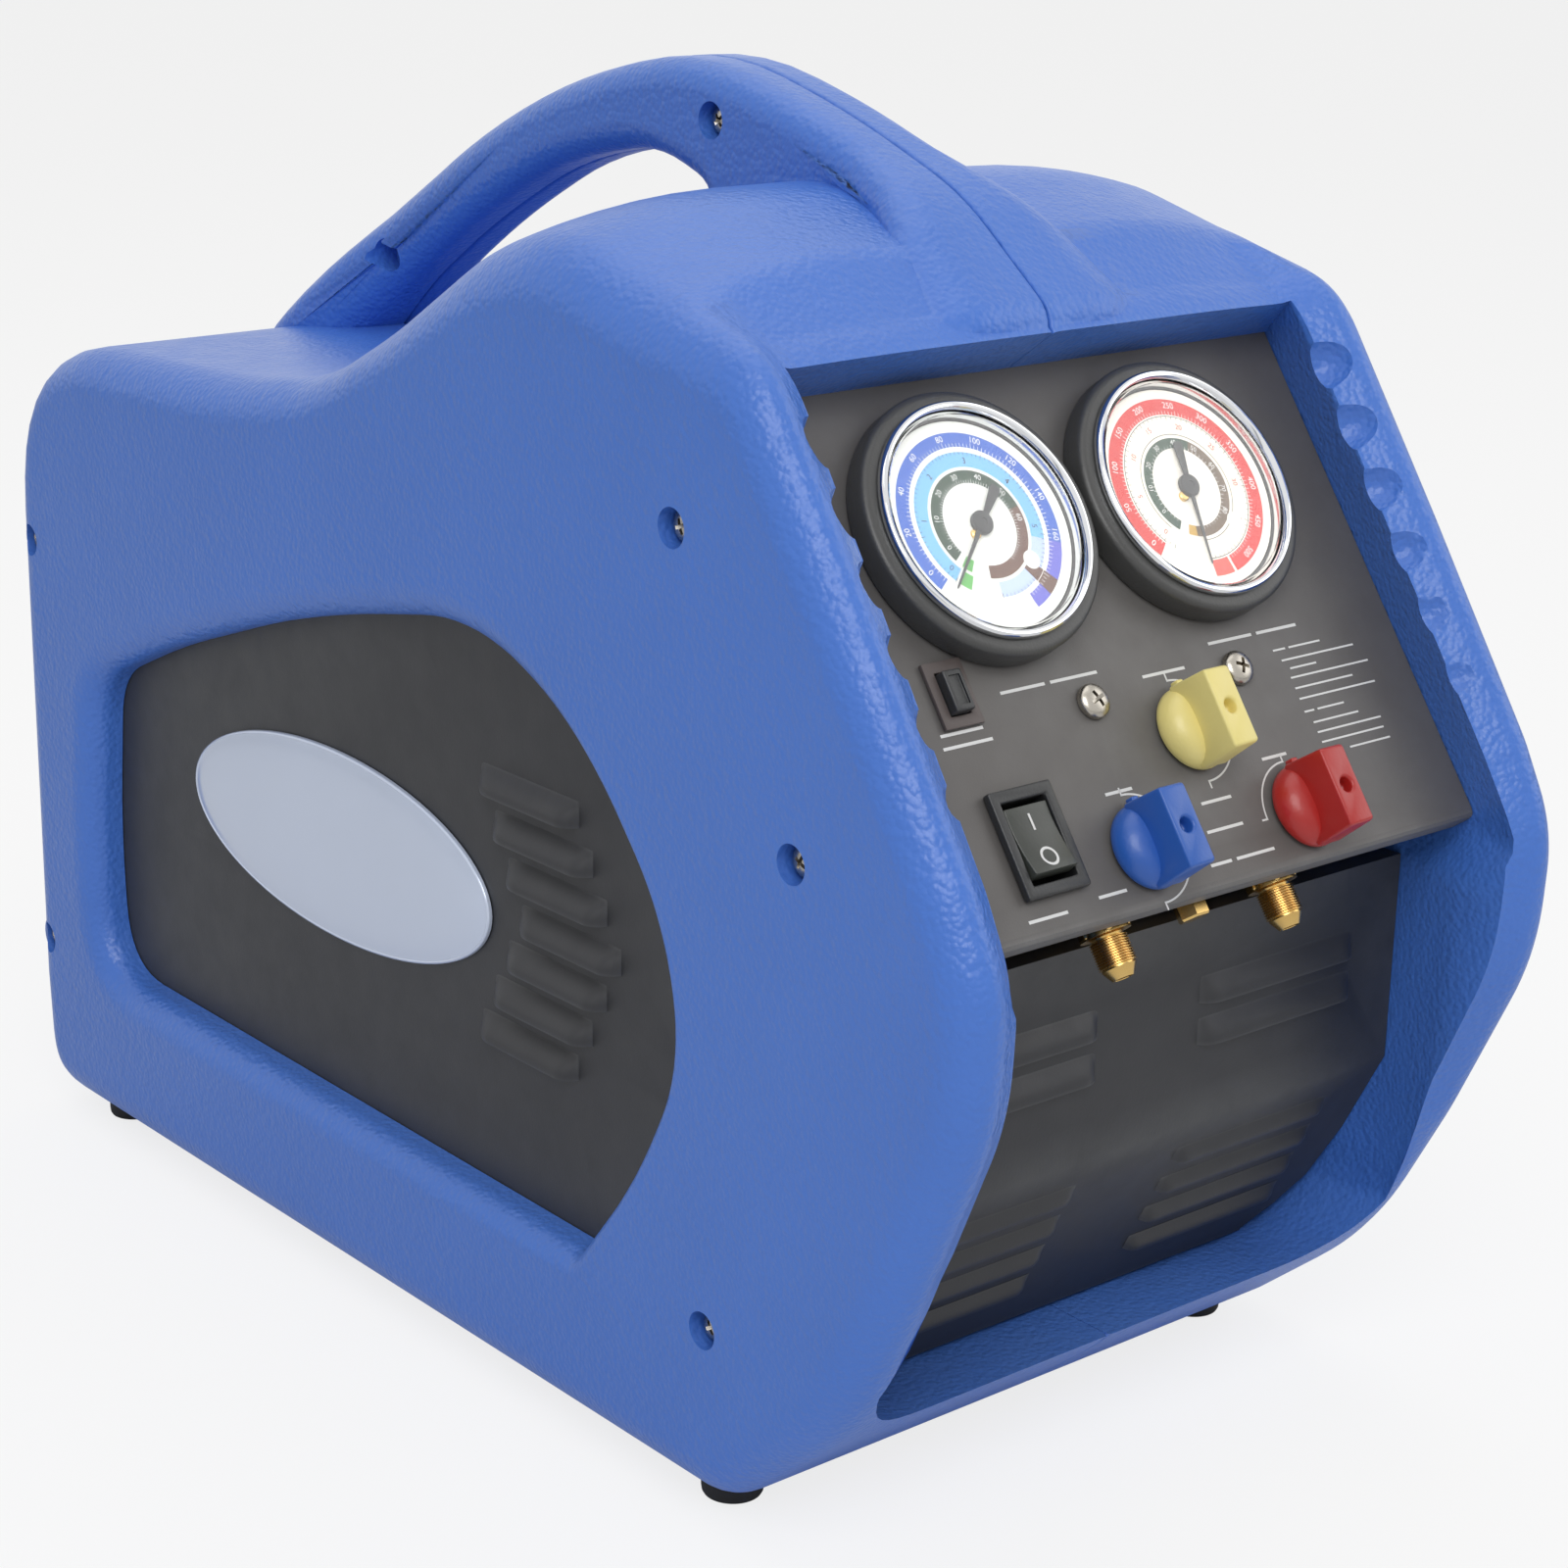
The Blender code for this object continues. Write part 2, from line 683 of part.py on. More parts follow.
def build_gauge(side, x, rest):
    """One pressure gauge: case with flange, chrome ring, dial, needle, lens."""
    at = (x, 0, 0)
    seat = DIAL_FACE - 1.0 - GAP
    rim = DIAL_FACE + 2.4
    glass = rim + GAP
    shelf = glass + LENS + GAP
    case = turned([
        (0, -24), (CASE_R, -24), (CASE_R, GAP), (FLANGE_R, GAP), (FLANGE_R, 2.6), (FLANGE_R - 1.6, 4.6),
        (CASE_R + 0.9, 4.6), (CASE_R + 0.9, rim), (DIAL_R + 0.7, rim), (DIAL_R + 0.7, seat), (0, seat),
    ], 38, "Z", at)
    keep(on_panel(case), side + "_gauge_case", "black_plastic")
    ring = turned([
        (CASE_R + 1.2, 4.9), (RING_R, 4.9), (RING_R, shelf - 1.2), (RING_R - 0.9, shelf + 0.7),
        (RING_R - 2.4, shelf + 1.2), (DIAL_R - 1.2, shelf + 0.5), (DIAL_R - 1.2, shelf),
        (CASE_R + 0.2, shelf), (CASE_R + 0.2, glass), (CASE_R + 1.2, glass),
    ], 38, "Z", at)
    keep(on_panel(ring), side + "_gauge_ring", "chrome")
    dial = rod(DIAL_R + 0.4, DIAL_FACE - 1.0, DIAL_FACE, 36, "Z", at)
    keep(on_panel(dial), side + "_gauge_dial", "dial_white")
    lens = rod(CASE_R - 0.1, glass, glass + LENS, 36, "Z", at)
    keep(on_panel(lens), side + "_gauge_lens", "glass")
    low = DIAL_FACE + GAP
    hub = turned([(0, low), (3.4, low), (3.4, low + 1.4), (2.6, low + 1.8), (0, low + 1.8)], 16)
    angle = math.radians(rest)
    arm = [
        (-13.2, -1.2), (-12.0, -1.7), (-3.0, -0.9), (23.3, -0.28), (23.8, 0.0), (23.3, 0.28),
        (-3.0, 0.9), (-12.0, 1.7), (-13.2, 1.2),
    ]
    weld(hub, slab(arm, low + 0.6, low + 1.3, "Z"))
    place(hub, Matrix.Translation(at) @ Matrix.Rotation(angle, 4, "Z"))
    keep(on_panel(hub), side + "_gauge_needle", "black_plastic", pivot_at(x, 0.0, 0.0))


def build_knob(colour, x, u):
    """A valve knob: chamfered base, raised bar grip and a screw recess."""
    knob = turned([
        (0, 1.2), (KNOB_R, 1.2), (KNOB_R, 5.4), (KNOB_R - 3.2, KNOB_SHOULDER), (0, KNOB_SHOULDER),
    ], 32)
    bar = soft_box((-4.6, 4.6), (-KNOB_R - 0.4, KNOB_R + 0.4), (3.6, KNOB_TOP), 0.9)
    weld(knob, bar)
    pointer = soft_box((-1.3, 1.3), (KNOB_R - 1.5, KNOB_R + 1.6), (1.6, 4.8), 0.4, 1)
    weld(knob, pointer)
    cut(knob, rod(2.3, KNOB_TOP - 3.0, KNOB_TOP + 4, 16), rod(STEM_R + 0.4, -2, 9.0, 16))
    keep(on_panel(place(knob, Matrix.Translation((x, u, 0)))), colour + "_knob", colour, pivot_at(x, u, 0))
    stem = turned([
        (0, -17.0), (STEM_R, -17.0), (STEM_R, 8.6), (0, 8.6),
    ], 20, "Z", (x, u, 0))
    keep(on_panel(stem), colour + "_valve_stem", "brass", pivot_at(x, u, 0))


def build_manifold():
    """The brass valve block behind the panel, bored for stems and ports."""
    block = soft_box((-44, 48), (-104.5, -45), (-30, -10), 1.0, 1)
    bores = [rod(STEM_R + 0.45, -17.4, 0, 14, "Z", (x, u, 0)) for _, x, u in KNOBS]
    bores += [rod(5.3, -112, -98.5, 14, "Y", (x, 0, PORT_DEPTH)) for x in PORT_X]
    bores += [rod(1.9, -19, 0, 10, "Z", (x, u, 0)) for x, u in PANEL_SCREWS]
    cut(block, *bores)
    for x, u in PANEL_SCREWS:
        spacer = turned([(2.5, -10.2), (5.0, -10.2), (5.0, -SHEET - 0.3), (2.5, -SHEET - 0.3)], 12)
        place(spacer, Matrix.Translation((x, u, 0)))
        weld(block, spacer)
    plug = turned([(0, -112.5), (4.2, -112.5), (4.6, -111.9), (4.6, -103.5), (0, -103.5)], 6, "Y",
                  (2.0, 0, PORT_DEPTH))
    weld(block, plug)
    keep(on_panel(block), "valve_manifold", "brass")
    for name, x in zip(("inlet_port", "outlet_port"), PORT_X):
        profile = [(2.4, -99.0), (4.9, -99.0), (4.9, -105.5), (7.2, -105.5), (7.2, -110.0), (4.4, -110.6)]
        for k in range(5):
            low = -111.4 - 1.5 * k
            profile += [(5.45, low), (4.7, low - 0.75)]
        profile += [(4.7, -119.4), (3.1, -122.2), (2.4, -122.2)]
        port = turned(profile, 14, "Y", (x, 0, PORT_DEPTH))
        nut = turned([(4.0, -109.8), (7.6, -109.8), (7.6, -105.3), (4.0, -105.3)], 6, "Y",
                     (x, 0, PORT_DEPTH))
        weld(port, nut)
        keep(on_panel(port), name, "brass")


def build_switch():
    """The power switch body with its bezel, and the rocker in it."""
    x, u = SWITCH_AT
    half_x, half_u = SWITCH_SIZE[0] / 2, SWITCH_SIZE[1] / 2
    body = soft_box((-half_x, half_x), (-half_u, half_u), (GAP, 3.0), 0.8)
    weld(body, box((-half_x + 2.6, half_x - 2.6), (-half_u + 2.6, half_u - 2.6), (-20, 1.0)))
    rock_x, rock_u = ROCKER_SIZE[0] / 2, ROCKER_SIZE[1] / 2
    cut(body, box((-rock_x - 0.4, rock_x + 0.4), (-rock_u - 0.8, rock_u + 0.8), (-9.5, 8)))
    keep(on_panel(place(body, Matrix.Translation((x, u, 0)))), "switch_body", "black_plastic")
    side = [
        (-rock_u + 1.6, 5.0), (0, 2.2), (rock_u - 0.8, 2.4), (rock_u - 0.8, -1.6),
        (3.0, -6.2), (-3.0, -6.2), (-rock_u + 0.8, 0.4),
    ]
    rocker = slab(side, -rock_x, rock_x, "X")
    modifier = rocker.modifiers.new("edge", "BEVEL")
    modifier.width = 0.5
    modifier.segments = 2
    modifier.limit_method = "ANGLE"
    bake(rocker)
    place(rocker, Matrix.Translation((x, u, 0)))
    keep(on_panel(rocker), "power_rocker", "black_plastic", pivot_at(x, u, -2.0))


def build_breaker():
    x, u = BREAKER_AT
    half_x, half_u = BREAKER_SIZE[0] / 2, BREAKER_SIZE[1] / 2
    body = soft_box((-half_x, half_x), (-half_u, half_u), (GAP, 1.6), 0.4, 1)
    weld(body, box((-half_x + 2.7, half_x - 2.7), (-half_u + 2.7, half_u - 2.7), (-24, 1.0)))
    but_x, but_u = BUTTON_SIZE[0] / 2, BUTTON_SIZE[1] / 2
    cut(body, box((-but_x - 0.3, but_x + 0.3), (-but_u - 0.3, but_u + 0.3), (-12, 8)))
    keep(on_panel(place(body, Matrix.Translation((x, u, 0)))), "circuit_breaker_body", "grey_plastic")
    button = soft_box((-but_x, but_x), (-but_u, but_u), (-8.0, 4.4), 0.8)
    place(button, Matrix.Translation((x, u, 0)))
    keep(on_panel(button), "circuit_breaker_button", "black_plastic", pivot_at(x, u, 0))


def pan_screw(head, shank, length, profile_height):
    """A pan-head cross screw along +Z, its head underside on Z = 0."""
    screw = turned([
        (0, -length), (shank, -length), (shank, 0), (head, 0), (head, profile_height * 0.45),
        (head * 0.6, profile_height), (0, profile_height),
    ], 12)
    for turn in (0, 1):
        bar = box((-head * 0.5, head * 0.5), (-0.55, 0.55), (profile_height - 1.4, profile_height + 2))
        cut(screw, place(bar, Matrix.Rotation(turn * math.pi / 2, 4, "Z")))
    return screw


def build_screws():
    for number, (x, u) in enumerate(PANEL_SCREWS, 1):
        screw = place(pan_screw(5.0, 1.6, 18.0, 3.2), Matrix.Translation((x, u, GAP)))
        keep(on_panel(screw), "panel_screw_%d" % number, "steel")
    for side, sign in (("left", -1), ("right", 1)):
        for number, (y, z) in enumerate(SHELL_SCREWS, 1):
            screw = pan_screw(4.4, 2.2, 16.0, 2.8)
            turn = Matrix.Rotation(sign * math.pi / 2, 4, "Y")
            place(screw, Matrix.Translation((sign * (HALF_WIDTH - POCKET_FLOOR + GAP), y, z)) @ turn)
            keep(screw, "%s_shell_screw_%d" % (side, number), "steel")
    screw = place(pan_screw(4.4, 2.2, 18.0, 2.8), Matrix.Rotation(-math.pi / 2, 4, "Y"))
    place(screw, Matrix.Translation((POCKET_FLOOR - GRIP_HALF - GAP, *HANDLE_SCREW)))
    keep(screw, "handle_screw", "steel")


def build_feet():
    """Four turned rubber feet, each with a stud up into the shell's floor."""
    for name, sx, y in (
        ("front_left_foot", -1, FOOT_Y[0]), ("front_right_foot", 1, FOOT_Y[0]),
        ("rear_left_foot", -1, FOOT_Y[1]), ("rear_right_foot", 1, FOOT_Y[1]),
    ):
        top = BASE - GAP
        foot = turned([
            (0, GROUND + 1.2), (3.0, GROUND + 1.2), (3.0, GROUND), (FOOT_R - 1.2, GROUND),
            (FOOT_R - 0.2, GROUND + 1.0), (FOOT_R, top), (0, top),
        ], 22, "Z", (sx * FOOT_X, y, 0))
        keep(foot, name, "rubber")


def build_rear():
    """The slotted air grille and the power inlet on the back wall."""
    inside = REAR_Y - WALL - GAP
    outline = [
        (-GRILLE_HALF, GRILLE_LOW, 16), (GRILLE_HALF, GRILLE_LOW, 16),
        (GRILLE_HALF, GRILLE_HIGH, 16), (-GRILLE_HALF, GRILLE_HIGH, 16),
    ]
    plate = slab(rounded(outline, 3), inside - SHEET, inside, "Y")
    slots = []
    for row in range(9):
        z = GRILLE_LOW + 16 + 12.0 * row
        for sign in (-1, 1):
            span = sorted((sign * 5.0, sign * (GRILLE_HALF - 12.0)))
            slots.append(box(span, (inside - 10, inside + 10), (z - 3.4, z + 3.4)))
    cut(plate, gather(slots))
    keep(plate, "rear_grille", "black_steel")
    x, z = INLET_AT
    body = soft_box((x - 17, x + 17), (REAR_Y + GAP, REAR_Y + 3.0), (z - 13, z + 13), 1.0, 1)
    weld(body, box((x - 13.5, x + 13.5), (REAR_Y - 24, REAR_Y + 1), (z - 10, z + 10)))
    cut(body, box((x - 11.5, x + 11.5), (REAR_Y - 15, REAR_Y + 9), (z - 8, z + 8)))
    for across, up in ((-6.0, -1.5), (0.0, 2.2), (6.0, -1.5)):
        pin = box((x + across - 1, x + across + 1), (REAR_Y - 16, REAR_Y - 3), (z + up - 2, z + up + 2))
        weld(body, pin)
    keep(body, "power_inlet", "black_plastic")


def build_base():
    """The folded floor tray that carries everything inside the shells."""
    low = BASE + WALL + GAP
    tray = box((-TRAY_HALF, TRAY_HALF), (-128, 188), (low, low + SHEET))
    for sign in (-1, 1):
        span = sorted((sign * TRAY_HALF, sign * (TRAY_HALF - SHEET)))
        weld(tray, box(span, (-118, 182), (low + 0.5, low + 20)))
    keep(tray, "base_tray", "grey_paint")
    return low + SHEET


def build_compressor(floor):
    """An opposed twin compressor on legs, its motor behind on the same shaft."""
    case = rod(40, -78, 6, 24, "Y", (0, 0, SHAFT_Z))
    weld(case, soft_box((-44, 44), (-70, -2), (SHAFT_Z - 34, SHAFT_Z + 34), 4, 1))
    for y in (-64, -20):
        weld(case, box((-34, 34), (y, y + 12), (floor + GAP, SHAFT_Z - 20)))
    cut(case, rod(8.4, -2, 20, 20, "Y", (0, 0, SHAFT_Z)))
    keep(case, "compressor_crankcase", "aluminium")
    for name, sign in (("left_cylinder_head", -1), ("right_cylinder_head", 1)):
        near, far = 44.0 + GAP, SIDE_FACE - 13.2
        pitch = (far - near) * 0.183
        span = sorted((sign * near, sign * far))
        head = soft_box(span, (-66, -6), (SHAFT_Z - 30, SHAFT_Z + 30), 3, 1)
        grooves = []
        for k in range(4):
            at = near + pitch * (k + 0.8)
            span = sorted((sign * at, sign * (at + pitch / 2)))
            grooves.append(box(span, (-80, 10), (SHAFT_Z + 16, SHAFT_Z + 40)))
            grooves.append(box(span, (-80, 10), (SHAFT_Z - 40, SHAFT_Z - 16)))
        cut(head, gather(grooves))
        keep(head, name, "aluminium")
    motor = turned([
        (0, 6 + GAP), (40, 6 + GAP), (MOTOR_R, 14), (MOTOR_R, 108), (40, 116), (14, 118),
        (14, 122), (8.4, 122), (8.4, 112), (0, 112),
    ], 24, "Y", (0, 0, SHAFT_Z))
    for y in (26, 84):
        weld(motor, box((-30, 30), (y, y + 12), (floor + GAP, SHAFT_Z - MOTOR_R + 16)))
    keep(motor, "drive_motor", "grey_paint")


def build_fan():
    """The cooling fan: shaft, hub and five pitched blades as one piece."""
    fan = turned([
        (0, 112.6), (8.0, 112.6), (8.0, FAN_Y - 12), (18, FAN_Y - 12), (18, FAN_Y + 8),
        (13, FAN_Y + 12), (0, FAN_Y + 12),
    ], 20, "Y")
    for k in range(5):
        rings = []
        for radius, chord, pitch in ((14, 9, 48), (44, 17, 36), (FAN_R, 21, 26)):
            lean = math.radians(pitch)
            ring = []
            for along, thick in ((-1, -0.8), (1, -0.8), (1, 0.8), (-1, 0.8)):
                side = along * chord * math.cos(lean) - thick * math.sin(lean)
                back = along * chord * math.sin(lean) * 0.62 + thick * math.cos(lean)
                ring.append((side, FAN_Y - 2 + back, radius))
            rings.append(ring)
        blade = place(loft(rings), Matrix.Rotation(2 * math.pi * k / 5, 4, "Y"))
        weld(fan, blade)
    place(fan, Matrix.Translation((0, 0, SHAFT_Z)))
    keep(fan, "cooling_fan", "black_plastic", (0, FAN_Y, SHAFT_Z))


def build_condenser(floor):
    """The condenser: a finned core between two side tanks, standing on the tray."""
    y = (170.5, 187.0)
    core = box((-COIL_HALF, COIL_HALF), y, (floor + GAP, 206))
    slots = []
    span = (8.0 - COIL_HALF, COIL_HALF - 8.0)
    for k in range(15):
        z = floor + 14 + 11.6 * k
        slots.append(box(span, (y[0] - 5, y[0] + 7.0), (z, z + 7.0)))
        slots.append(box(span, (y[1] - 7.0, y[1] + 5), (z, z + 7.0)))
    cut(core, gather(slots))
    keep(core, "condenser_coil", "aluminium")


def tube(points, radius, name, sides=8):
    """A round tube bent along a path of points, closed at both ends."""
    path = [Vector(p) for p in points]
    bends = [path[0]]
    for i in range(1, len(path) - 1):
        before = (path[i - 1] - path[i])
        after = (path[i + 1] - path[i])
        reach = min(9.0, before.length * 0.45, after.length * 0.45)
        start = path[i] + before.normalized() * reach
        end = path[i] + after.normalized() * reach
        for k in range(4):
            t = k / 3
            bends.append(start * (1 - t) ** 2 + path[i] * 2 * t * (1 - t) + end * t ** 2)
    bends.append(path[-1])
    ways = [(b - a).normalized() for a, b in zip(bends, bends[1:])]
    across = ways[0].orthogonal().normalized()
    rings = []
    for i, point in enumerate(bends):
        way = (ways[max(i - 1, 0)] + ways[min(i, len(ways) - 1)]).normalized()
        across = (across - way * across.dot(way)).normalized()
        up = way.cross(across)
        ring = []
        for k in range(sides):
            angle = 2 * math.pi * k / sides
            ring.append(point + (across * math.cos(angle) + up * math.sin(angle)) * radius)
        rings.append(ring)
    keep(loft(rings), name, "copper")


def build_tubes():
    """Copper lines between the manifold, the compressor heads and the condenser."""
    back = -30.0 - GAP
    inlet = pivot_at(-30.0, -80.0, back)
    outlet = pivot_at(34.0, -60.0, back)
    head_top = SHAFT_Z + 30 + GAP
    coil_face = 170.5 - GAP
    tube([inlet, pivot_at(-30, -80, back - 22), (6 - LINE_X, -124, 205), (-LINE_X, -36, 205),
          (-LINE_X, -36, head_top)], 3.2, "suction_tube")
    tube([(LINE_X, -36, head_top), (LINE_X, -36, 222), (LINE_X, 164.0, 222), (LINE_X, 164.0, 190),
          (LINE_X, coil_face, 190)], 3.2, "discharge_tube")
    tube([(40, coil_face, 198), (40, 160, 198), (40, 150, 232), (34, -100, 232),
          pivot_at(34, -60, back - 18), outlet], 3.2, "liquid_tube")


def main():
    clear_scene()
    build_shells()
    build_side_panels()
    build_front_chassis()
    build_control_panel()
    for side, x, rest in zip(("suction", "discharge"), (-GAUGE_X, GAUGE_X), NEEDLE_REST):
        build_gauge(side, x, rest)
    for colour, x, u in KNOBS:
        build_knob(colour, x, u)
    build_manifold()
    build_switch()
    build_breaker()
    build_screws()
    build_feet()
    build_rear()
    floor = build_base()
    build_compressor(floor)
    build_fan()
    build_condenser(floor)
    build_tubes()


main()
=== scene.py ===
"""Looks of the refrigerant recovery machine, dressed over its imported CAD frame.

Points are written in millimetres in the machine's own measure, as in the part's
source: +X right as the panel is faced, the panel faces -Y, +Z up.
"""
import math

import bmesh
import bpy
from bpy.props import FloatProperty, FloatVectorProperty, IntProperty, PointerProperty
from mathutils import Matrix, Vector


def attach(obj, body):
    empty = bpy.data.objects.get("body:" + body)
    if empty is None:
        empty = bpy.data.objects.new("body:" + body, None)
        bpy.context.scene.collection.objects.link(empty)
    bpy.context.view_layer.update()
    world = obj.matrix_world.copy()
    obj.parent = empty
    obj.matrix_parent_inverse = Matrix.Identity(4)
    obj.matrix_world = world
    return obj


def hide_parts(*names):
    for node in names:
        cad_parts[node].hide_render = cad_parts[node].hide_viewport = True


bl_info = {
    "name": "Recovery Machine Looks",
    "version": (1, 0, 0),
    "blender": (4, 5, 0),
    "location": "View3D > Sidebar > Recovery Machine",
    "description": "Builds the visible pieces and finishes of a refrigerant recovery machine",
    "category": "Object",
}

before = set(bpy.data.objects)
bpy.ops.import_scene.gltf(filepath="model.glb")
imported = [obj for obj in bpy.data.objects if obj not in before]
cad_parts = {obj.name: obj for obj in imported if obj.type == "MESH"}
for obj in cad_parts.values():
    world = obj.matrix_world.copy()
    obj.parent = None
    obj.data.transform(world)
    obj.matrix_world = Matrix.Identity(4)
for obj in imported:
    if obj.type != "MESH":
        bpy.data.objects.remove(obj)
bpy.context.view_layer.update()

MM = 0.001
SENSOR = 36.0
INSET_STEP = 0.5
CROWDED = 0.45
MERGE = 0.002
GROUND = 3.0
MIDDLE_Y = 2.83
GAP = 0.3

# Shell
HALF_WIDTH = 115.0
WALL = 3.5
FACE_ROUND = 14.0
CROWN = 2.0
SHOULDER = 12.0
SEAM = 0.15
BASE = 11.0
REAR_Y = 242.0
FRAME_STEP = 9.0
OPENING_HALF = 103.5
OPENING_FRONT = 94.5
OPENING_LIP = 45.0
OPENING_BOTTOM = 44.0
LEAN_DEPTH = 25.0
EASE_FROM = 45.0
FRAME_EDGE = (90.0, 108.0)
HOOD_HEIGHTS = (270, 345)
HOOD_LENGTH = (140, -20)
HOOD_FRONT = (-150, -95)
NOSE_DEPTH = (-108, -140)
NOSE_HEIGHTS = (50, 120)
LEAN_HEIGHTS = (140, 230)
NOSE_BULGE = 26.7
BULGE_HEIGHTS = (168.0, 187.0)
GROOVE = ((SEAM, 1.3), (SEAM + 0.45, 0.4), (SEAM + 1.2, 0.0))
SCALLOP_R = 13.4
SCALLOP_TOP = 23.4
SCALLOP_PITCH = 19.4
SCALLOP_AT = (88.0, 28.5)
RECESS = 13.8
SIDE_FACE = HALF_WIDTH - RECESS
LIP_DEPTH = 9.0
LIP_WIDTH = 11.0
BADGE_AT = (61.3, 146.5)
BADGE_HALF = (83.7, 30.8)
GRIP_HALF = 17.0
GRIP_ROUND = 9.0
GRILLE_HALF = 80.0
GRILLE_LOW = 58.0
GRILLE_HIGH = 186.0
INLET_AT = (-62.0, 203.0)
POCKET_R = 5.5
POCKET_FLOOR = 6.0

# Control panel, in its own tilted frame
TILT = math.radians(36.0)
PANEL_Y = -150.9
PANEL_Z = 277.4
GAUGE_X = 39.2
RING_R = 34.0
CASE_R = 31.0
FLANGE_R = 37.3
DIAL_R = 29.6
DIAL_FACE = 6.4
LENS = 1.1
NEEDLE_REST = {"suction": 224.0, "discharge": 261.0}
KNOBS = {"yellow": (9.5, -65.6), "blue": (-22.8, -93.4), "red": (38.8, -94.2)}
KNOB_R = 11.9
KNOB_TOP = 18.5
PORTS = {"inlet_port": -30.5, "outlet_port": 34.5}
PORT_DEPTH = -17.5
PANEL_SCREWS = ((-20.0, -52.0), (36.0, -52.0))
SWITCH_AT = (-58.0, -84.4)
SWITCH_SIZE = (22.0, 29.5)
ROCKER_SIZE = (15.0, 21.0)
BREAKER_AT = (-65.6, -41.7)
BREAKER_SIZE = (13.4, 18.4)
BUTTON_SIZE = (6.5, 11.5)

# Chassis and feet
SHEET = 2.0
CHASSIS_Y = -190.0
FOLD_Z = 107.0
FOOT_R = 9.0
FOOT_X = 94.0
FOOT_Y = (-128.0, 211.0)

# Side outlines: along Y, up Z, corner radius
BODY_CORNERS = (
    (-144, BASE, 24), (-190, 50, 120), (-214, 96, 200), (-239, 152, 90), (-240.5, 190, 60),
    (-228, 214, 60), (-190, 271, 300), (-149, 332, 40), (-112, 346, 160),
    (-62, 359, 120), (-26, 348.5, 200), (20, 316, 300), (56, 294, 200), (110, 286, 300),
    (REAR_Y, 281, 62), (REAR_Y, 54, 60), (239, BASE, 34), (150, BASE, 0),
)
INNER_FRONT = (
    (-94, 400), (-99.5, 328), (-197, 193.5), (-178, 165), (-178, 106), (-150, 48),
    (-138, -20), (330, -20), (330, 400),
)
HANDLE_CORNERS = (
    (230, 222, 8), (228, 268, 60), (183, 308, 400), (111, 354, 400), (62, 376, 400), (0, 390.5, 400),
    (-58, 376, 400), (-104, 359, 90), (-141, 331, 12), (-136, 296, 8), (-60, 290, 8), (-9, 290, 6),
    (-11, 350, 12), (18, 360, 60), (66, 351, 400), (116, 325, 400), (152, 301, 200), (184, 272, 40),
    (190, 222, 10),
)
WINDOW_CORNERS = (
    (-78, 62.4, 7), (-105.5, 96.5, 400), (-125.5, 138, 400), (-117, 176, 400), (-82, 217, 400),
    (-26, 239, 400), (65, 220.5, 900), (150, 190.5, 400), (193, 171, 26), (199, 112, 400), (195.5, 64.9, 24),
)
SHELL_SCREWS = ((-122, 284), (-172, 207), (-139, 64), (230, 212), (231, 68))
HANDLE_SCREW = (-14.0, 370.7)
HANDLE_REAR_POCKET = (154.5, 310.5)

# Camera solved from the photograph: lens, place in metres, and its turn
CAMERA_LENS = 75.56
CAMERA_AT = (-0.62208, -0.76941, 0.47374)
CAMERA_TURN = (1.262897, -0.020161, -0.697064)

PANEL_FRAME = Matrix((
    (1.0, 0.0, 0.0, 0.0),
    (0.0, math.sin(TILT), -math.cos(TILT), PANEL_Y),
    (0.0, math.cos(TILT), math.sin(TILT), PANEL_Z),
    (0.0, 0.0, 0.0, 1.0),
))


class MachineColours(bpy.types.PropertyGroup):
    """Colours of the machine's finishes, in linear values."""


def colour_property(label, text, value):
    return FloatVectorProperty(
        name=label, description=text, subtype="COLOR", size=3, min=0.0, max=1.0, default=value)


MachineColours.__annotations__ = {
    "shell": colour_property("Shell", "Moulded plastic of both shells", (0.058, 0.175, 0.60)),
    "steel_black": colour_property("Black sheet", "Side, lower and rear sheet", (0.021, 0.022, 0.026)),
    "panel_grey": colour_property("Panel", "Powder coat of the control panel", (0.098, 0.091, 0.086)),
    "knob_yellow": colour_property("Yellow knob", "Moulded yellow", (0.82, 0.70, 0.25)),
    "knob_blue": colour_property("Blue knob", "Moulded blue", (0.022, 0.105, 0.43)),
    "knob_red": colour_property("Red knob", "Moulded red", (0.40, 0.017, 0.014)),
    "brass": colour_property("Brass", "Valve block, plug and ports", (0.66, 0.44, 0.15)),
    "badge": colour_property("Badge", "Domed side plate", (0.58, 0.65, 0.80)),
    "floor": colour_property("Floor", "Studio floor", (0.88, 0.88, 0.88)),
}


class MachineSizes(bpy.types.PropertyGroup):
    """Sizes of the visible detail, in millimetres."""

    grain: FloatProperty(
        name="Shell grain", description="Size of one cell of the moulded grain",
        default=1.8, min=0.3, max=8.0, unit="NONE")
    edge: FloatProperty(
        name="Shell edge", description="Softened width of the shell's cut edges",
        default=0.8, min=0.1, max=3.0, unit="NONE")
    louvre: FloatProperty(
        name="Louvre height", description="How far a side louvre stands off its sheet",
        default=4.8, min=1.0, max=8.0, unit="NONE")
    mark: FloatProperty(
        name="Print stroke", description="Width of a printed line on the control panel",
        default=0.55, min=0.2, max=2.0, unit="NONE")
    turns: IntProperty(
        name="Round steps", description="Sides of a turned piece", default=96, min=24, max=256)


def colours():
    return bpy.context.scene.machine_colours


def sizes():
    return bpy.context.scene.machine_sizes


# Meshes

def new_object(name, data):
    thing = bpy.data.objects.new(name, data)
    bpy.context.scene.collection.objects.link(thing)
    return thing


def bare_object(bm, name="work"):
    """Turn a bmesh into an object, its faces left as they are."""
    mesh = bpy.data.meshes.new(name)
    bm.to_mesh(mesh)
    bm.free()
    return new_object(name, mesh)


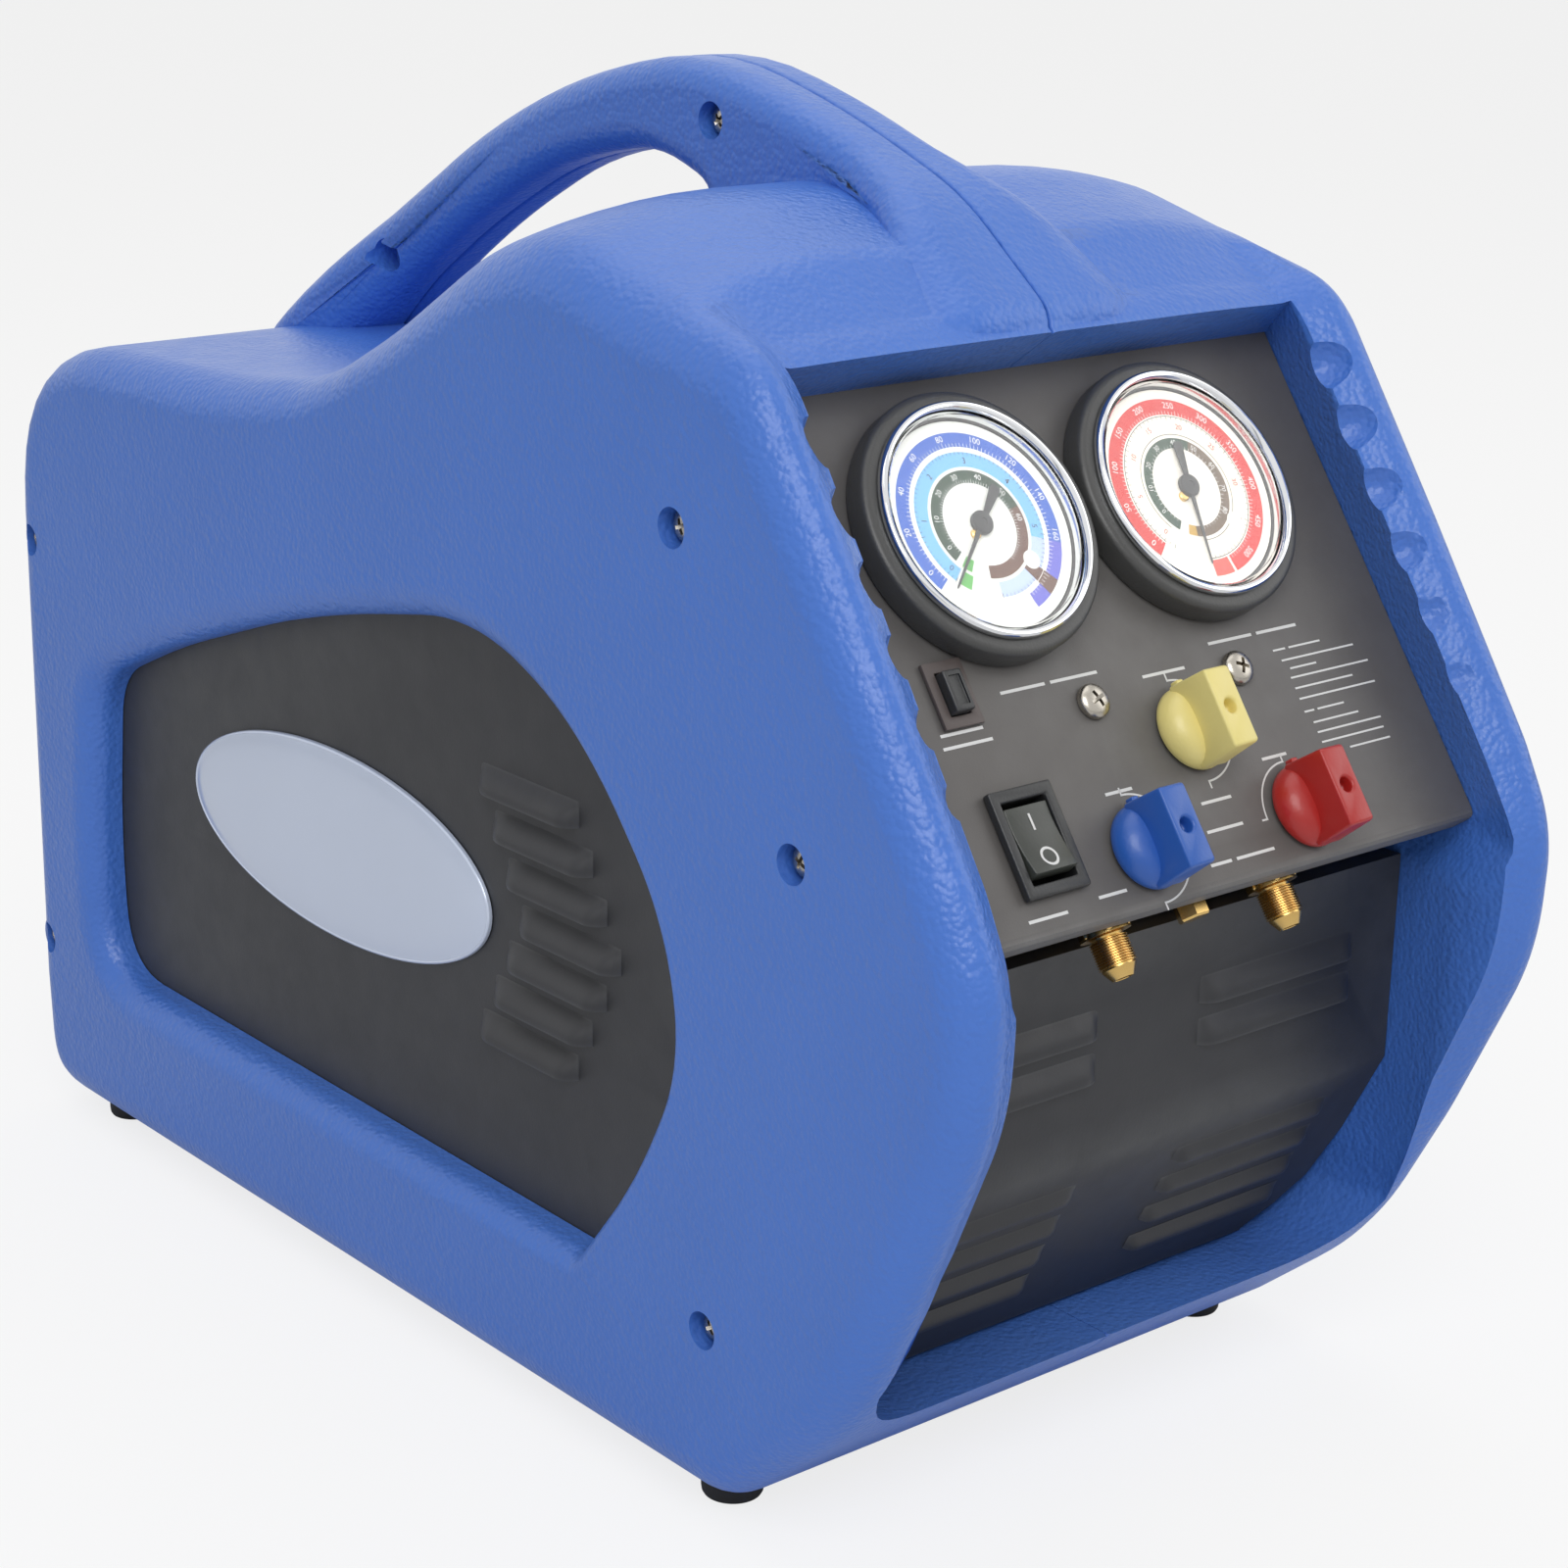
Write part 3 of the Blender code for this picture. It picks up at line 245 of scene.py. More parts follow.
def mesh_object(bm):
    """Turn a bmesh in millimetres into an object, its faces turned outwards."""
    bmesh.ops.recalc_face_normals(bm, faces=bm.faces)
    return bare_object(bm)


def discard(thing):
    mesh = thing.data
    bpy.data.objects.remove(thing, do_unlink=True)
    bpy.data.meshes.remove(mesh)


def apply_modifiers(thing):
    graph = bpy.context.evaluated_depsgraph_get()
    mesh = bpy.data.meshes.new_from_object(thing.evaluated_get(graph))
    thing.modifiers.clear()
    old = thing.data
    thing.data = mesh
    bpy.data.meshes.remove(old)
    return thing


def combine(thing, other, operation):
    modifier = thing.modifiers.new("cut", "BOOLEAN")
    modifier.operation = operation
    modifier.solver = "EXACT"
    modifier.object = other
    apply_modifiers(thing)
    discard(other)
    return thing


def cut(thing, *others):
    for other in others:
        combine(thing, other, "DIFFERENCE")
    return thing


def weld(thing, *others):
    for other in others:
        combine(thing, other, "UNION")
    return thing


def join(*things):
    """Several meshes as one object, without cutting them into each other."""
    bm = bmesh.new()
    for thing in things:
        bm.from_mesh(thing.data)
        discard(thing)
    return bare_object(bm)


def move(thing, matrix):
    thing.data.transform(matrix)
    if matrix.determinant() < 0:
        thing.data.flip_normals()
    return thing


def mirrored(thing):
    """A copy on the other side of the centre line."""
    return move(new_object("work", thing.data.copy()), Matrix.Scale(-1, 4, (1, 0, 0)))


def turned(thing, angle):
    """Turn a piece about Z by an angle in degrees."""
    return move(thing, Matrix.Rotation(math.radians(angle), 4, "Z"))


def add_bevel(thing, width, segments, angle):
    modifier = thing.modifiers.new("softened edges", "BEVEL")
    modifier.width = width
    modifier.segments = segments
    modifier.limit_method = "ANGLE"
    modifier.angle_limit = math.radians(angle)


def bevel(thing, width, segments=2, angle=30.0):
    add_bevel(thing, width, segments, angle)
    return apply_modifiers(thing)


def rounded(corners, steps=8):
    """Round a closed outline. Each corner is (a, b, radius)."""
    outline = []
    count = len(corners)
    for i, (a, b, radius) in enumerate(corners):
        here = Vector((a, b))
        before = Vector(corners[i - 1][:2]) - here
        after = Vector(corners[(i + 1) % count][:2]) - here
        half = before.angle(after) / 2
        reach = min(radius / math.tan(half), before.length * 0.49, after.length * 0.49)
        if radius <= 0 or reach < 0.05:
            outline.append(here)
            continue
        start = here + before.normalized() * reach
        end = here + after.normalized() * reach
        for k in range(steps + 1):
            t = k / steps
            outline.append(start * (1 - t) ** 2 + here * 2 * t * (1 - t) + end * t ** 2)
    return outline


def shifted(points, step):
    """Move each point of a closed outline square to its neighbours."""
    count = len(points)
    moved = []
    for i, point in enumerate(points):
        before = (point - points[i - 1]).normalized()
        after = (points[(i + 1) % count] - point).normalized()
        chord = before + after
        moved.append(point + Vector((-chord.y, chord.x)).normalized() * step)
    return moved


def inset(outline, distance):
    """Shrink a closed outline in small steps, easing points that crowd together."""
    count = len(outline)
    area = sum(outline[i - 1].cross(outline[i]) for i in range(count))
    turn = 1.0 if area > 0 else -1.0
    spans = [(outline[i] - outline[i - 1]).length for i in range(count)]
    points = list(outline)
    steps = max(1, math.ceil(abs(distance) / INSET_STEP))
    for _ in range(steps):
        moved = shifted(points, turn * distance / steps)
        points = list(moved)
        for i, point in enumerate(moved):
            before = moved[i - 1]
            after = moved[(i + 1) % count]
            spacing = min(spans[(i + 1) % count], spans[i])
            if min((after - point).length, (before - point).length) < CROWDED * spacing:
                points[i] = point.lerp((before + after) / 2, 0.5)
    return points


def loft(rings):
    """A closed body through rings of equal point count, capped at both ends."""
    bm = bmesh.new()
    rows = [[bm.verts.new(p) for p in ring] for ring in rings]
    count = len(rows[0])
    for low, high in zip(rows, rows[1:]):
        for i in range(count):
            j = (i + 1) % count
            bm.faces.new((low[i], low[j], high[j], high[i]))
    bm.faces.new(rows[0])
    bm.faces.new(rows[-1])
    return mesh_object(bm)


def slab(outline, low, high, axis="X"):
    """Extrude an outline along one axis. X takes (y, z), Y (x, z), Z (x, y)."""
    spot = "XYZ".index(axis)
    return loft([[(*p[:spot], depth, *p[spot:]) for p in outline] for depth in (low, high)])


def box(x, y, z):
    return slab([(x[0], y[0]), (x[1], y[0]), (x[1], y[1]), (x[0], y[1])], *z, "Z")


def block(half_x, half_y, z):
    """A box with its middle on the Z axis."""
    return box((-half_x, half_x), (-half_y, half_y), z)


def lathe(profile, steps=None, axis="Z", at=(0.0, 0.0, 0.0)):
    """Turn a (radius, height) profile about an axis. A profile off the axis closes on itself."""
    steps = steps or sizes().turns
    angles = [2 * math.pi * k / steps for k in range(steps)]
    bm = bmesh.new()
    rows = []
    for radius, height in profile:
        if radius < 1e-6:
            rows.append([bm.verts.new((0, 0, height))])
            continue
        rows.append([bm.verts.new((radius * math.cos(a), radius * math.sin(a), height)) for a in angles])
    hollow = all(len(row) > 1 for row in rows)
    for i in range(len(rows) if hollow else len(rows) - 1):
        low, high = rows[i], rows[(i + 1) % len(rows)]
        for k in range(steps):
            m = (k + 1) % steps
            corners = [low[k % len(low)], low[m % len(low)], high[m % len(high)], high[k % len(high)]]
            unique = list(dict.fromkeys(corners))
            if len(unique) > 2:
                bm.faces.new(unique)
    thing = mesh_object(bm)
    if axis == "X":
        move(thing, Matrix.Rotation(math.pi / 2, 4, "Y"))
    if axis == "Y":
        move(thing, Matrix.Rotation(-math.pi / 2, 4, "X"))
    return move(thing, Matrix.Translation(at))


def rod(radius, low, high, axis="Z", at=(0.0, 0.0, 0.0), steps=32):
    return lathe([(0, low), (radius, low), (radius, high), (0, high)], steps, axis, at)


def heading(angle):
    """A flat unit vector at an angle in degrees."""
    return Vector((math.cos(math.radians(angle)), math.sin(math.radians(angle))))


def arc_points(radius, start, end, steps, centre=(0.0, 0.0)):
    points = []
    for k in range(steps + 1):
        angle = math.radians(start + (end - start) * k / steps)
        points.append((centre[0] + radius * math.cos(angle), centre[1] + radius * math.sin(angle)))
    return points


def shade(thing, sharp=32.0):
    """Smooth faces, with edges over an angle kept crisp."""
    bm = bmesh.new()
    bm.from_mesh(thing.data)
    bmesh.ops.remove_doubles(bm, verts=bm.verts, dist=MERGE)
    bmesh.ops.dissolve_degenerate(bm, dist=MERGE / 2, edges=bm.edges)
    limit = math.radians(sharp)
    for face in bm.faces:
        face.smooth = True
    for edge in bm.edges:
        edge.smooth = len(edge.link_faces) == 2 and edge.calc_face_angle(math.pi) < limit
    bm.to_mesh(thing.data)
    bm.free()
    return thing


def even_normals(thing):
    """Let large faces rule the shading beside small ones."""
    modifier = thing.modifiers.new("even normals", "WEIGHTED_NORMAL")
    modifier.keep_sharp = True
    modifier.weight = 80
    return thing


def panel_place(x, u, n=0.0):
    """Where a piece built about its own origin goes on the control panel."""
    return PANEL_FRAME @ Matrix.Translation((x, u, n))


def settle(thing, name, material, nodes=(), place=None, sharp=32.0, body="machine"):
    """Finish a piece: shading, metres, its place, its material and the body it rides on."""
    shade(thing, sharp)
    thing.name = name
    thing.data.name = name
    thing.data.transform(Matrix.Scale(MM, 4))
    matrix = (place or Matrix.Identity(4)).copy()
    matrix.translation = (matrix.translation - Vector((0.0, MIDDLE_Y, GROUND))) * MM
    thing.matrix_world = matrix
    for each in material if isinstance(material, list) else [material]:
        thing.data.materials.append(each)
    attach(thing, body)
    if nodes:
        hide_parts(*nodes)
    return thing


# Finishes

GRAIN = "Moulded grain"
POWDER = "Powder coat"
COAT_ROUGH = 0.12
DUST_COLOUR = (0.42, 0.41, 0.39)

def node(tree, kind, **inputs):
    made = tree.nodes.new(kind)
    for key, value in inputs.items():
        if key in made.inputs:
            made.inputs[key].default_value = value
        else:
            setattr(made, key, value)
    return made


def feed(tree, value, socket):
    """Link a value to a socket, or set it where it is a plain number or colour."""
    if isinstance(value, bpy.types.NodeSocket):
        tree.links.new(value, socket)
    else:
        socket.default_value = value


def new_group(name, output, **inputs):
    """A shader group with float inputs and one float output, and the piece's own coordinates in it."""
    tree = bpy.data.node_groups.new(name, "ShaderNodeTree")
    for label, default in inputs.items():
        socket = tree.interface.new_socket(label, in_out="INPUT", socket_type="NodeSocketFloat")
        socket.default_value = default
    tree.interface.new_socket(output, in_out="OUTPUT", socket_type="NodeSocketFloat")
    given = tree.nodes.new("NodeGroupInput").outputs
    out = tree.nodes.new("NodeGroupOutput").inputs
    return tree, given, out, tree.nodes.new("ShaderNodeTexCoord").outputs["Object"]


def math_node(tree, operation, first, second):
    made = tree.nodes.new("ShaderNodeMath")
    made.operation = operation
    feed(tree, first, made.inputs[0])
    feed(tree, second, made.inputs[1])
    return made.outputs[0]


def noise(tree, place, scale, detail, rough):
    made = node(tree, "ShaderNodeTexNoise", Detail=detail, Roughness=rough)
    feed(tree, place, made.inputs["Vector"])
    feed(tree, scale, made.inputs["Scale"])
    return made.outputs["Fac"]


def grain_group():
    """Moulded pebble grain: rounded cells with soft valleys, broken up by finer noise."""
    tree, given, out, place = new_group(GRAIN, "Height", Cell=0.002, Fine=0.25)
    scale = math_node(tree, "DIVIDE", 1.0, given["Cell"])
    warp = noise(tree, place, math_node(tree, "MULTIPLY", scale, 0.55), 1.0, 0.5)
    cells = node(tree, "ShaderNodeTexVoronoi", feature="SMOOTH_F1", Smoothness=0.35, Randomness=1.0)
    feed(tree, place, cells.inputs["Vector"])
    feed(tree, scale, cells.inputs["Scale"])
    fine = noise(tree, place, math_node(tree, "MULTIPLY", scale, 4.0), 2.0, 0.6)
    pebbles = math_node(tree, "MULTIPLY", cells.outputs["Distance"], -1.3)
    body = math_node(tree, "ADD", pebbles, math_node(tree, "MULTIPLY", warp, 1.6))
    dots = math_node(tree, "MULTIPLY", fine, given["Fine"])
    feed(tree, math_node(tree, "ADD", body, dots), out["Height"])
    return tree


def powder_group():
    """The fine orange peel of powder coat or cast metal."""
    tree, given, out, place = new_group(POWDER, "Height", Cell=0.0006, Lumps=0.4)
    scale = math_node(tree, "DIVIDE", 1.0, given["Cell"])
    fine = noise(tree, place, scale, 3.0, 0.65)
    broad = noise(tree, place, math_node(tree, "MULTIPLY", scale, 0.2), 1.0, 0.5)
    lumps = math_node(tree, "MULTIPLY", broad, given["Lumps"])
    feed(tree, math_node(tree, "ADD", fine, lumps), out["Height"])
    return tree


def wear_group():
    """Where edges rub bright or pale, broken up by noise."""
    tree, given, out, place = new_group("Edge wear", "Mask", Start=0.53, Amount=0.5, Patch=0.02)
    shape = node(tree, "ShaderNodeNewGeometry")
    reach = node(tree, "ShaderNodeMapRange", clamp=True)
    feed(tree, shape.outputs["Pointiness"], reach.inputs["Value"])
    feed(tree, given["Start"], reach.inputs["From Min"])
    feed(tree, math_node(tree, "ADD", given["Start"], 0.12), reach.inputs["From Max"])
    patch = noise(tree, place, math_node(tree, "DIVIDE", 1.0, given["Patch"]), 4.0, 0.65)
    broken = math_node(tree, "MULTIPLY", reach.outputs["Result"], patch)
    feed(tree, math_node(tree, "MULTIPLY", broken, given["Amount"]), out["Mask"])
    return tree


def tone_group():
    """Slow changes of tone over a large surface, centred on one."""
    tree, given, out, place = new_group("Tone", "Tone", Patch=0.06, Swing=0.1)
    patch = noise(tree, place, math_node(tree, "DIVIDE", 1.0, given["Patch"]), 3.0, 0.55)
    around = math_node(tree, "SUBTRACT", patch, 0.5)
    swing = math_node(tree, "MULTIPLY", around, given["Swing"])
    feed(tree, math_node(tree, "ADD", swing, 1.0), out["Tone"])
    return tree


def dust_group():
    """Light dust on faces that look up."""
    tree, given, out, place = new_group("Dust", "Mask", Amount=0.1)
    shape = node(tree, "ShaderNodeNewGeometry")
    split = node(tree, "ShaderNodeSeparateXYZ")
    feed(tree, shape.outputs["Normal"], split.inputs["Vector"])
    up = math_node(tree, "POWER", math_node(tree, "MAXIMUM", split.outputs["Z"], 0.0), 3.0)
    speckled = math_node(tree, "MULTIPLY", up, noise(tree, place, 260.0, 4.0, 0.7))
    feed(tree, math_node(tree, "MULTIPLY", speckled, given["Amount"]), out["Mask"])
    return tree


GROUP_MAKERS = {
    GRAIN: grain_group, POWDER: powder_group, "Edge wear": wear_group,
    "Tone": tone_group, "Dust": dust_group,
}


def place_group(tree, name, **values):
    made = tree.nodes.new("ShaderNodeGroup")
    made.node_tree = bpy.data.node_groups.get(name) or GROUP_MAKERS[name]()
    for key, value in values.items():
        made.inputs[key].default_value = value
    return made


def mix_colour(tree, mask, first, second, blend="MIX"):
    made = tree.nodes.new("ShaderNodeMix")
    made.data_type = "RGBA"
    made.blend_type = blend
    feed(tree, mask, made.inputs[0])
    for value, socket in ((first, made.inputs[6]), (second, made.inputs[7])):
        feed(tree, value if isinstance(value, bpy.types.NodeSocket) else (*value, 1.0), socket)
    return made.outputs[2]


def mix_shaders(tree, share, first, second, out):
    """Blend two shaders by a share, into the tree's output node."""
    mixed = tree.nodes.new("ShaderNodeMixShader")
    for source, socket in zip((share, first, second), mixed.inputs):
        tree.links.new(source, socket)
    tree.links.new(mixed.outputs[0], tree.nodes[out].inputs["Surface"])


def new_material(name):
    material = bpy.data.materials.new(name)
    material.use_nodes = True
    return material, material.node_tree, material.node_tree.nodes["Principled BSDF"]


def tinted(tree, colour, swing):
    """A base colour under slow changes of tone."""
    tone = place_group(tree, "Tone", Patch=0.05, Swing=swing)
    base = mix_colour(tree, 1.0, colour, (1, 1, 1), "MULTIPLY")
    grey = tree.nodes.new("ShaderNodeCombineColor")
    for socket in grey.inputs[:3]:
        tree.links.new(tone.outputs["Tone"], socket)
    tree.links.new(grey.outputs["Color"], base.node.inputs[7])
    return base


def add_relief(tree, shader, height, cell, depth):
    """Bump from one of the relief groups."""
    relief = place_group(tree, height, Cell=cell)
    bump = node(tree, "ShaderNodeBump", Strength=1.0, Distance=depth)
    tree.links.new(relief.outputs["Height"], bump.inputs["Height"])
    tree.links.new(bump.outputs["Normal"], shader.inputs["Normal"])


def finish(name, colour, rough=0.5, metal=0.0, worn=None, wear=0.4, height=POWDER, cell=0.0006,
           depth=0.00004, swing=0.12, dust=0.06, coat=0.0, rough_swing=0.12, wear_start=0.53):
    """A finish with tone changes, worn edges, dust, relief and uneven gloss."""
    if name in bpy.data.materials:
        return bpy.data.materials[name]
    material, tree, shader = new_material(name)
    shader.inputs["Metallic"].default_value = metal
    if coat:
        shader.inputs["Coat Weight"].default_value = coat
        shader.inputs["Coat Roughness"].default_value = COAT_ROUGH
    wearing = place_group(tree, "Edge wear", Start=wear_start, Amount=wear)
    light = worn or [min(1.0, c * 1.6 + 0.03) for c in colour]
    rubbed = mix_colour(tree, wearing.outputs["Mask"], tinted(tree, colour, swing), light)
    dusty = place_group(tree, "Dust", Amount=dust)
    top = mix_colour(tree, dusty.outputs["Mask"], rubbed, DUST_COLOUR)
    tree.links.new(top, shader.inputs["Base Color"])
    patch = place_group(tree, "Tone", Patch=0.011, Swing=rough_swing * 4)
    gloss = math_node(tree, "MULTIPLY", patch.outputs["Tone"], rough)
    dull = math_node(tree, "ADD", gloss, math_node(tree, "MULTIPLY", dusty.outputs["Mask"], 0.3))
    tree.links.new(dull, shader.inputs["Roughness"])
    add_relief(tree, shader, height, cell, depth)
    return material


def shell_finish():
    return finish("shell_plastic", colours().shell, rough=0.33, height=GRAIN,
                  cell=sizes().grain * MM, depth=0.00020, swing=0.10, worn=(0.22, 0.36, 0.66), wear=0.25,
                  dust=0.03, wear_start=0.515)


def sheet_finish():
    return finish("black_powder_coat", colours().steel_black, rough=0.46, metal=0.0, cell=0.0007,
                  depth=0.00005, wear=0.5, worn=(0.16, 0.165, 0.17), dust=0.05)


def panel_finish():
    return finish("grey_powder_coat", colours().panel_grey, rough=0.5, cell=0.0005, depth=0.00005,
                  wear=0.6, worn=(0.25, 0.25, 0.25), dust=0.04, swing=0.08)


def chrome_finish():
    return finish("chrome", (0.78, 0.79, 0.81), rough=0.07, metal=1.0, cell=0.004, depth=0.000008,
                  swing=0.05, wear=0.15, dust=0.02, rough_swing=0.2)


def brass_finish():
    return finish("turned_brass", colours().brass, rough=0.24, metal=1.0, cell=0.0004, depth=0.00001,
                  swing=0.3, worn=(0.88, 0.68, 0.34), wear=0.7, dust=0.03)


def zinc_finish():
    return finish("zinc_plated_steel", (0.44, 0.41, 0.36), rough=0.27, metal=1.0, cell=0.0004, depth=0.00001,
                  swing=0.25, worn=(0.75, 0.72, 0.66), wear=0.5, dust=0.04)


def black_moulding():
    return finish("black_moulding", (0.022, 0.023, 0.024), rough=0.42, height=GRAIN, cell=0.0007,
                  depth=0.00003, worn=(0.11, 0.11, 0.115), wear=0.5, dust=0.05)


def gauge_moulding():
    return finish("grey_moulding", (0.055, 0.055, 0.054), rough=0.38, height=GRAIN, cell=0.0007,
                  depth=0.00003, worn=(0.14, 0.14, 0.14), wear=0.5, dust=0.05)


def rubber_finish():
    return finish("foot_rubber", (0.014, 0.014, 0.015), rough=0.75, height=GRAIN, cell=0.0009,
                  depth=0.00004, worn=(0.06, 0.06, 0.06), dust=0.15)


def cast_finish():
    return finish("cast_aluminium", (0.40, 0.41, 0.42), rough=0.45, metal=1.0, cell=0.0012, depth=0.00010,
                  swing=0.3, worn=(0.7, 0.7, 0.7), wear=0.6, dust=0.12)


def copper_finish():
    return finish("copper_tube", (0.60, 0.27, 0.14), rough=0.3, metal=1.0, cell=0.0009, depth=0.00001,
                  swing=0.35, worn=(0.85, 0.5, 0.35), dust=0.04)


def grey_paint():
    return finish("grey_paint", (0.16, 0.17, 0.18), rough=0.45, cell=0.0009, depth=0.00006,
                  worn=(0.4, 0.4, 0.4), wear=0.7, dust=0.1)


def knob_finish(name):
    c = {"yellow": colours().knob_yellow, "blue": colours().knob_blue, "red": colours().knob_red}[name]
    return finish(name + "_moulding", c, rough=0.36, height=GRAIN, cell=0.0009, depth=0.00002,
                  wear=0.35, dust=0.03, swing=0.1, coat=0.1)


def badge_finish():
    return finish("badge_lacquer", colours().badge, rough=0.22, metal=0.25, cell=0.0005, depth=0.000006,
                  swing=0.06, wear=0.2, dust=0.03, coat=0.6)


def print_ink(name="white_ink", colour=(0.74, 0.74, 0.73)):
    return finish(name, colour, rough=0.55, cell=0.0003, depth=0.000006, swing=0.12, wear=0.1, dust=0.02)


def lens_finish():
    if "clear_lens" in bpy.data.materials:
        return bpy.data.materials["clear_lens"]
    material, tree, shader = new_material("clear_lens")
    shader.inputs["Base Color"].default_value = (1.0, 1.0, 1.0, 1.0)
    shader.inputs["Transmission Weight"].default_value = 1.0
    shader.inputs["IOR"].default_value = 1.45
    haze = place_group(tree, "Tone", Patch=0.006, Swing=1.6)
    tree.links.new(math_node(tree, "MULTIPLY", haze.outputs["Tone"], 0.02), shader.inputs["Roughness"])
    add_relief(tree, shader, POWDER, 0.01, 0.000004)
    path = node(tree, "ShaderNodeLightPath")
    clear = tree.nodes.new("ShaderNodeBsdfTransparent")
    mix_shaders(tree, path.outputs["Is Shadow Ray"], shader.outputs[0], clear.outputs[0], "Material Output")
    return material


def dress(name, material, soften=0.0):
    """Give a carried-over CAD piece its finish, and soften its edges with a modifier."""
    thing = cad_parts[name]
    thing.data.materials.clear()
    thing.data.materials.append(material)
    if soften:
        add_bevel(thing, soften * MM, 2, 35)


# The shells

def smooth(low, high, value):
    t = min(max((value - low) / (high - low), 0.0), 1.0)
    return t * t * (3 - 2 * t)


def body_ring(outline, x, half_width):
    """A side outline at one distance out, under a hood that eases down to its sides."""
    side = max(0.0, (x - EASE_FROM) / (half_width - EASE_FROM))
    step = FRAME_STEP * (1 - smooth(*FRAME_EDGE, x))
    ring = []
    for p in outline:
        hood = smooth(*HOOD_HEIGHTS, p.y) * smooth(*HOOD_LENGTH, p.x)
        front = 0.35 + 0.65 * smooth(*HOOD_FRONT, p.x)
        back = step * smooth(*NOSE_DEPTH, p.x) * smooth(*NOSE_HEIGHTS, p.y)
        low = smooth(*LEAN_HEIGHTS, p.y) * math.sin(TILT)
        rise = hood * (CROWN - SHOULDER * front * side * side)
        ring.append((x, p.x + back * math.cos(TILT), p.y + rise - back * low))
    return ring


def body_solid(depth):
    """The right half of the machine's outside, moved in by a depth."""
    fine = depth == 0
    outline = inset(rounded(BODY_CORNERS, 9 if fine else 2), depth)
    width = HALF_WIDTH - depth
    edge = FACE_ROUND - depth
    if fine:
        across = [(-2.0, 1.3), *GROOVE]
        across += [(x, 0.0) for x in (47.0, 58.0, 69.0, 80.0, 88.0, 92.0, 96.0, width - edge)]
    else:
        across = [(x, 0.0) for x in (-1.0, 60.0, 90.0, width - edge)]
    rings = [body_ring(inset(outline, groove), x, width) for x, groove in across]
    steps = 9 if fine else 2
    for k in range(1, steps + 1):
        angle = math.pi / 2 * k / steps
        inner = inset(outline, edge * (1 - math.cos(angle)))
        rings.append(body_ring(inner, width - edge + edge * math.sin(angle), width))
    return loft(rings)


def panel_line(z):
    """How far forward the control panel and the sheet below it come at a height."""
    if z > BULGE_HEIGHTS[1]:
        return PANEL_Y + math.tan(TILT) * (z - PANEL_Z)
    return CHASSIS_Y - NOSE_BULGE * smooth(*BULGE_HEIGHTS, z)


def front_opening():
    """The front opening: side walls that lean in, and a top wall square on the panel."""
    half = OPENING_HALF
    corners = [(-half, OPENING_BOTTOM, 34), (half, OPENING_BOTTOM, 34), (half, 340, 0), (-half, 340, 0)]
    cutter = slab(rounded(corners, 10), -330, -98, "Y")
    rings = []
    for z in (30.0, 100.0, 168.0, 172.0, 176.0, 180.0, 184.0, 188.0, 250.0, 350.0):
        wall = panel_line(z)
        right = [(half, -90.0), (half, wall), (OPENING_FRONT, wall - LEAN_DEPTH), (OPENING_FRONT, -340.0)]
        ring = right + [(-x, y) for x, y in reversed(right)]
        rings.append([(x, y, z) for x, y in ring])
    lip = [panel_spot(OPENING_LIP, 90.0), panel_spot(OPENING_LIP, -70.0)]
    under = slab(lip + [(-60.0, 0.0), (-350.0, 0.0), (-350.0, 340.0)], -130, 130)
    return combine(combine(cutter, loft(rings), "INTERSECT"), under, "INTERSECT")


def panel_spot(up, off):
    """A point (y, z) above the control panel."""
    y = PANEL_Y + math.sin(TILT) * up - math.cos(TILT) * off
    return y, PANEL_Z + math.cos(TILT) * up + math.sin(TILT) * off


def window_ring(outline, share, x):
    """The window's outline spread towards its lip, which is narrower at the front."""
    ring = []
    for point, far in zip(outline, inset(outline, -LIP_WIDTH)):
        wide = 0.4 + 0.6 * smooth(-100, -30, point.x)
        spot = point.lerp(far, share * wide)
        ring.append((x, spot.x, spot.y))
    return ring


def side_window():
    """The window's cutter, with a soft lip that rolls in to the side sheet."""
    outline = rounded(WINDOW_CORNERS, 9)
    rings = [window_ring(outline, 1.12, HALF_WIDTH + 2.0)]
    for k in range(9):
        angle = math.pi / 2 * k / 8
        depth = LIP_DEPTH * (1 - math.cos(angle))
        rings.append(window_ring(outline, 1 - math.sin(angle), HALF_WIDTH - depth))
    rings.append(window_ring(outline, 0.0, SIDE_FACE - 6.0))
    return loft(rings)


def window_rim():
    """The wall that leads in from the shell's side to its black sheet."""
    outline = inset(rounded(WINDOW_CORNERS, 9), -WALL)
    wide = inset(outline, -LIP_WIDTH)
    rings = [[(SIDE_FACE + GAP, p.x, p.y) for p in outline]]
    rings.append([(HALF_WIDTH - LIP_DEPTH - 1.0, p.x, p.y) for p in outline])
    rings.append([(HALF_WIDTH - 2.0, p.x, p.y) for p in wide])
    return loft(rings)


def finger_scallops():
    """Six shallow dents down the inner front edge of the side frame."""
    angles = [math.pi * j / 16 for j in range(17)]
    ball = [(SCALLOP_R * math.sin(a), -SCALLOP_R * math.cos(a)) for a in angles]
    ball[0] = (0.0, -SCALLOP_R)
    ball[-1] = (0.0, SCALLOP_R)
    shape = Matrix.Rotation(-TILT, 4, "X") @ Matrix.Diagonal((1.05, 1.0, 0.72, 1.0))
    scoops = []
    for k in range(6):
        spot = panel_spot(SCALLOP_TOP - SCALLOP_PITCH * k, SCALLOP_AT[1])
        scoops.append(move(lathe(ball, 40), Matrix.Translation((SCALLOP_AT[0], *spot)) @ shape))
    return scoops


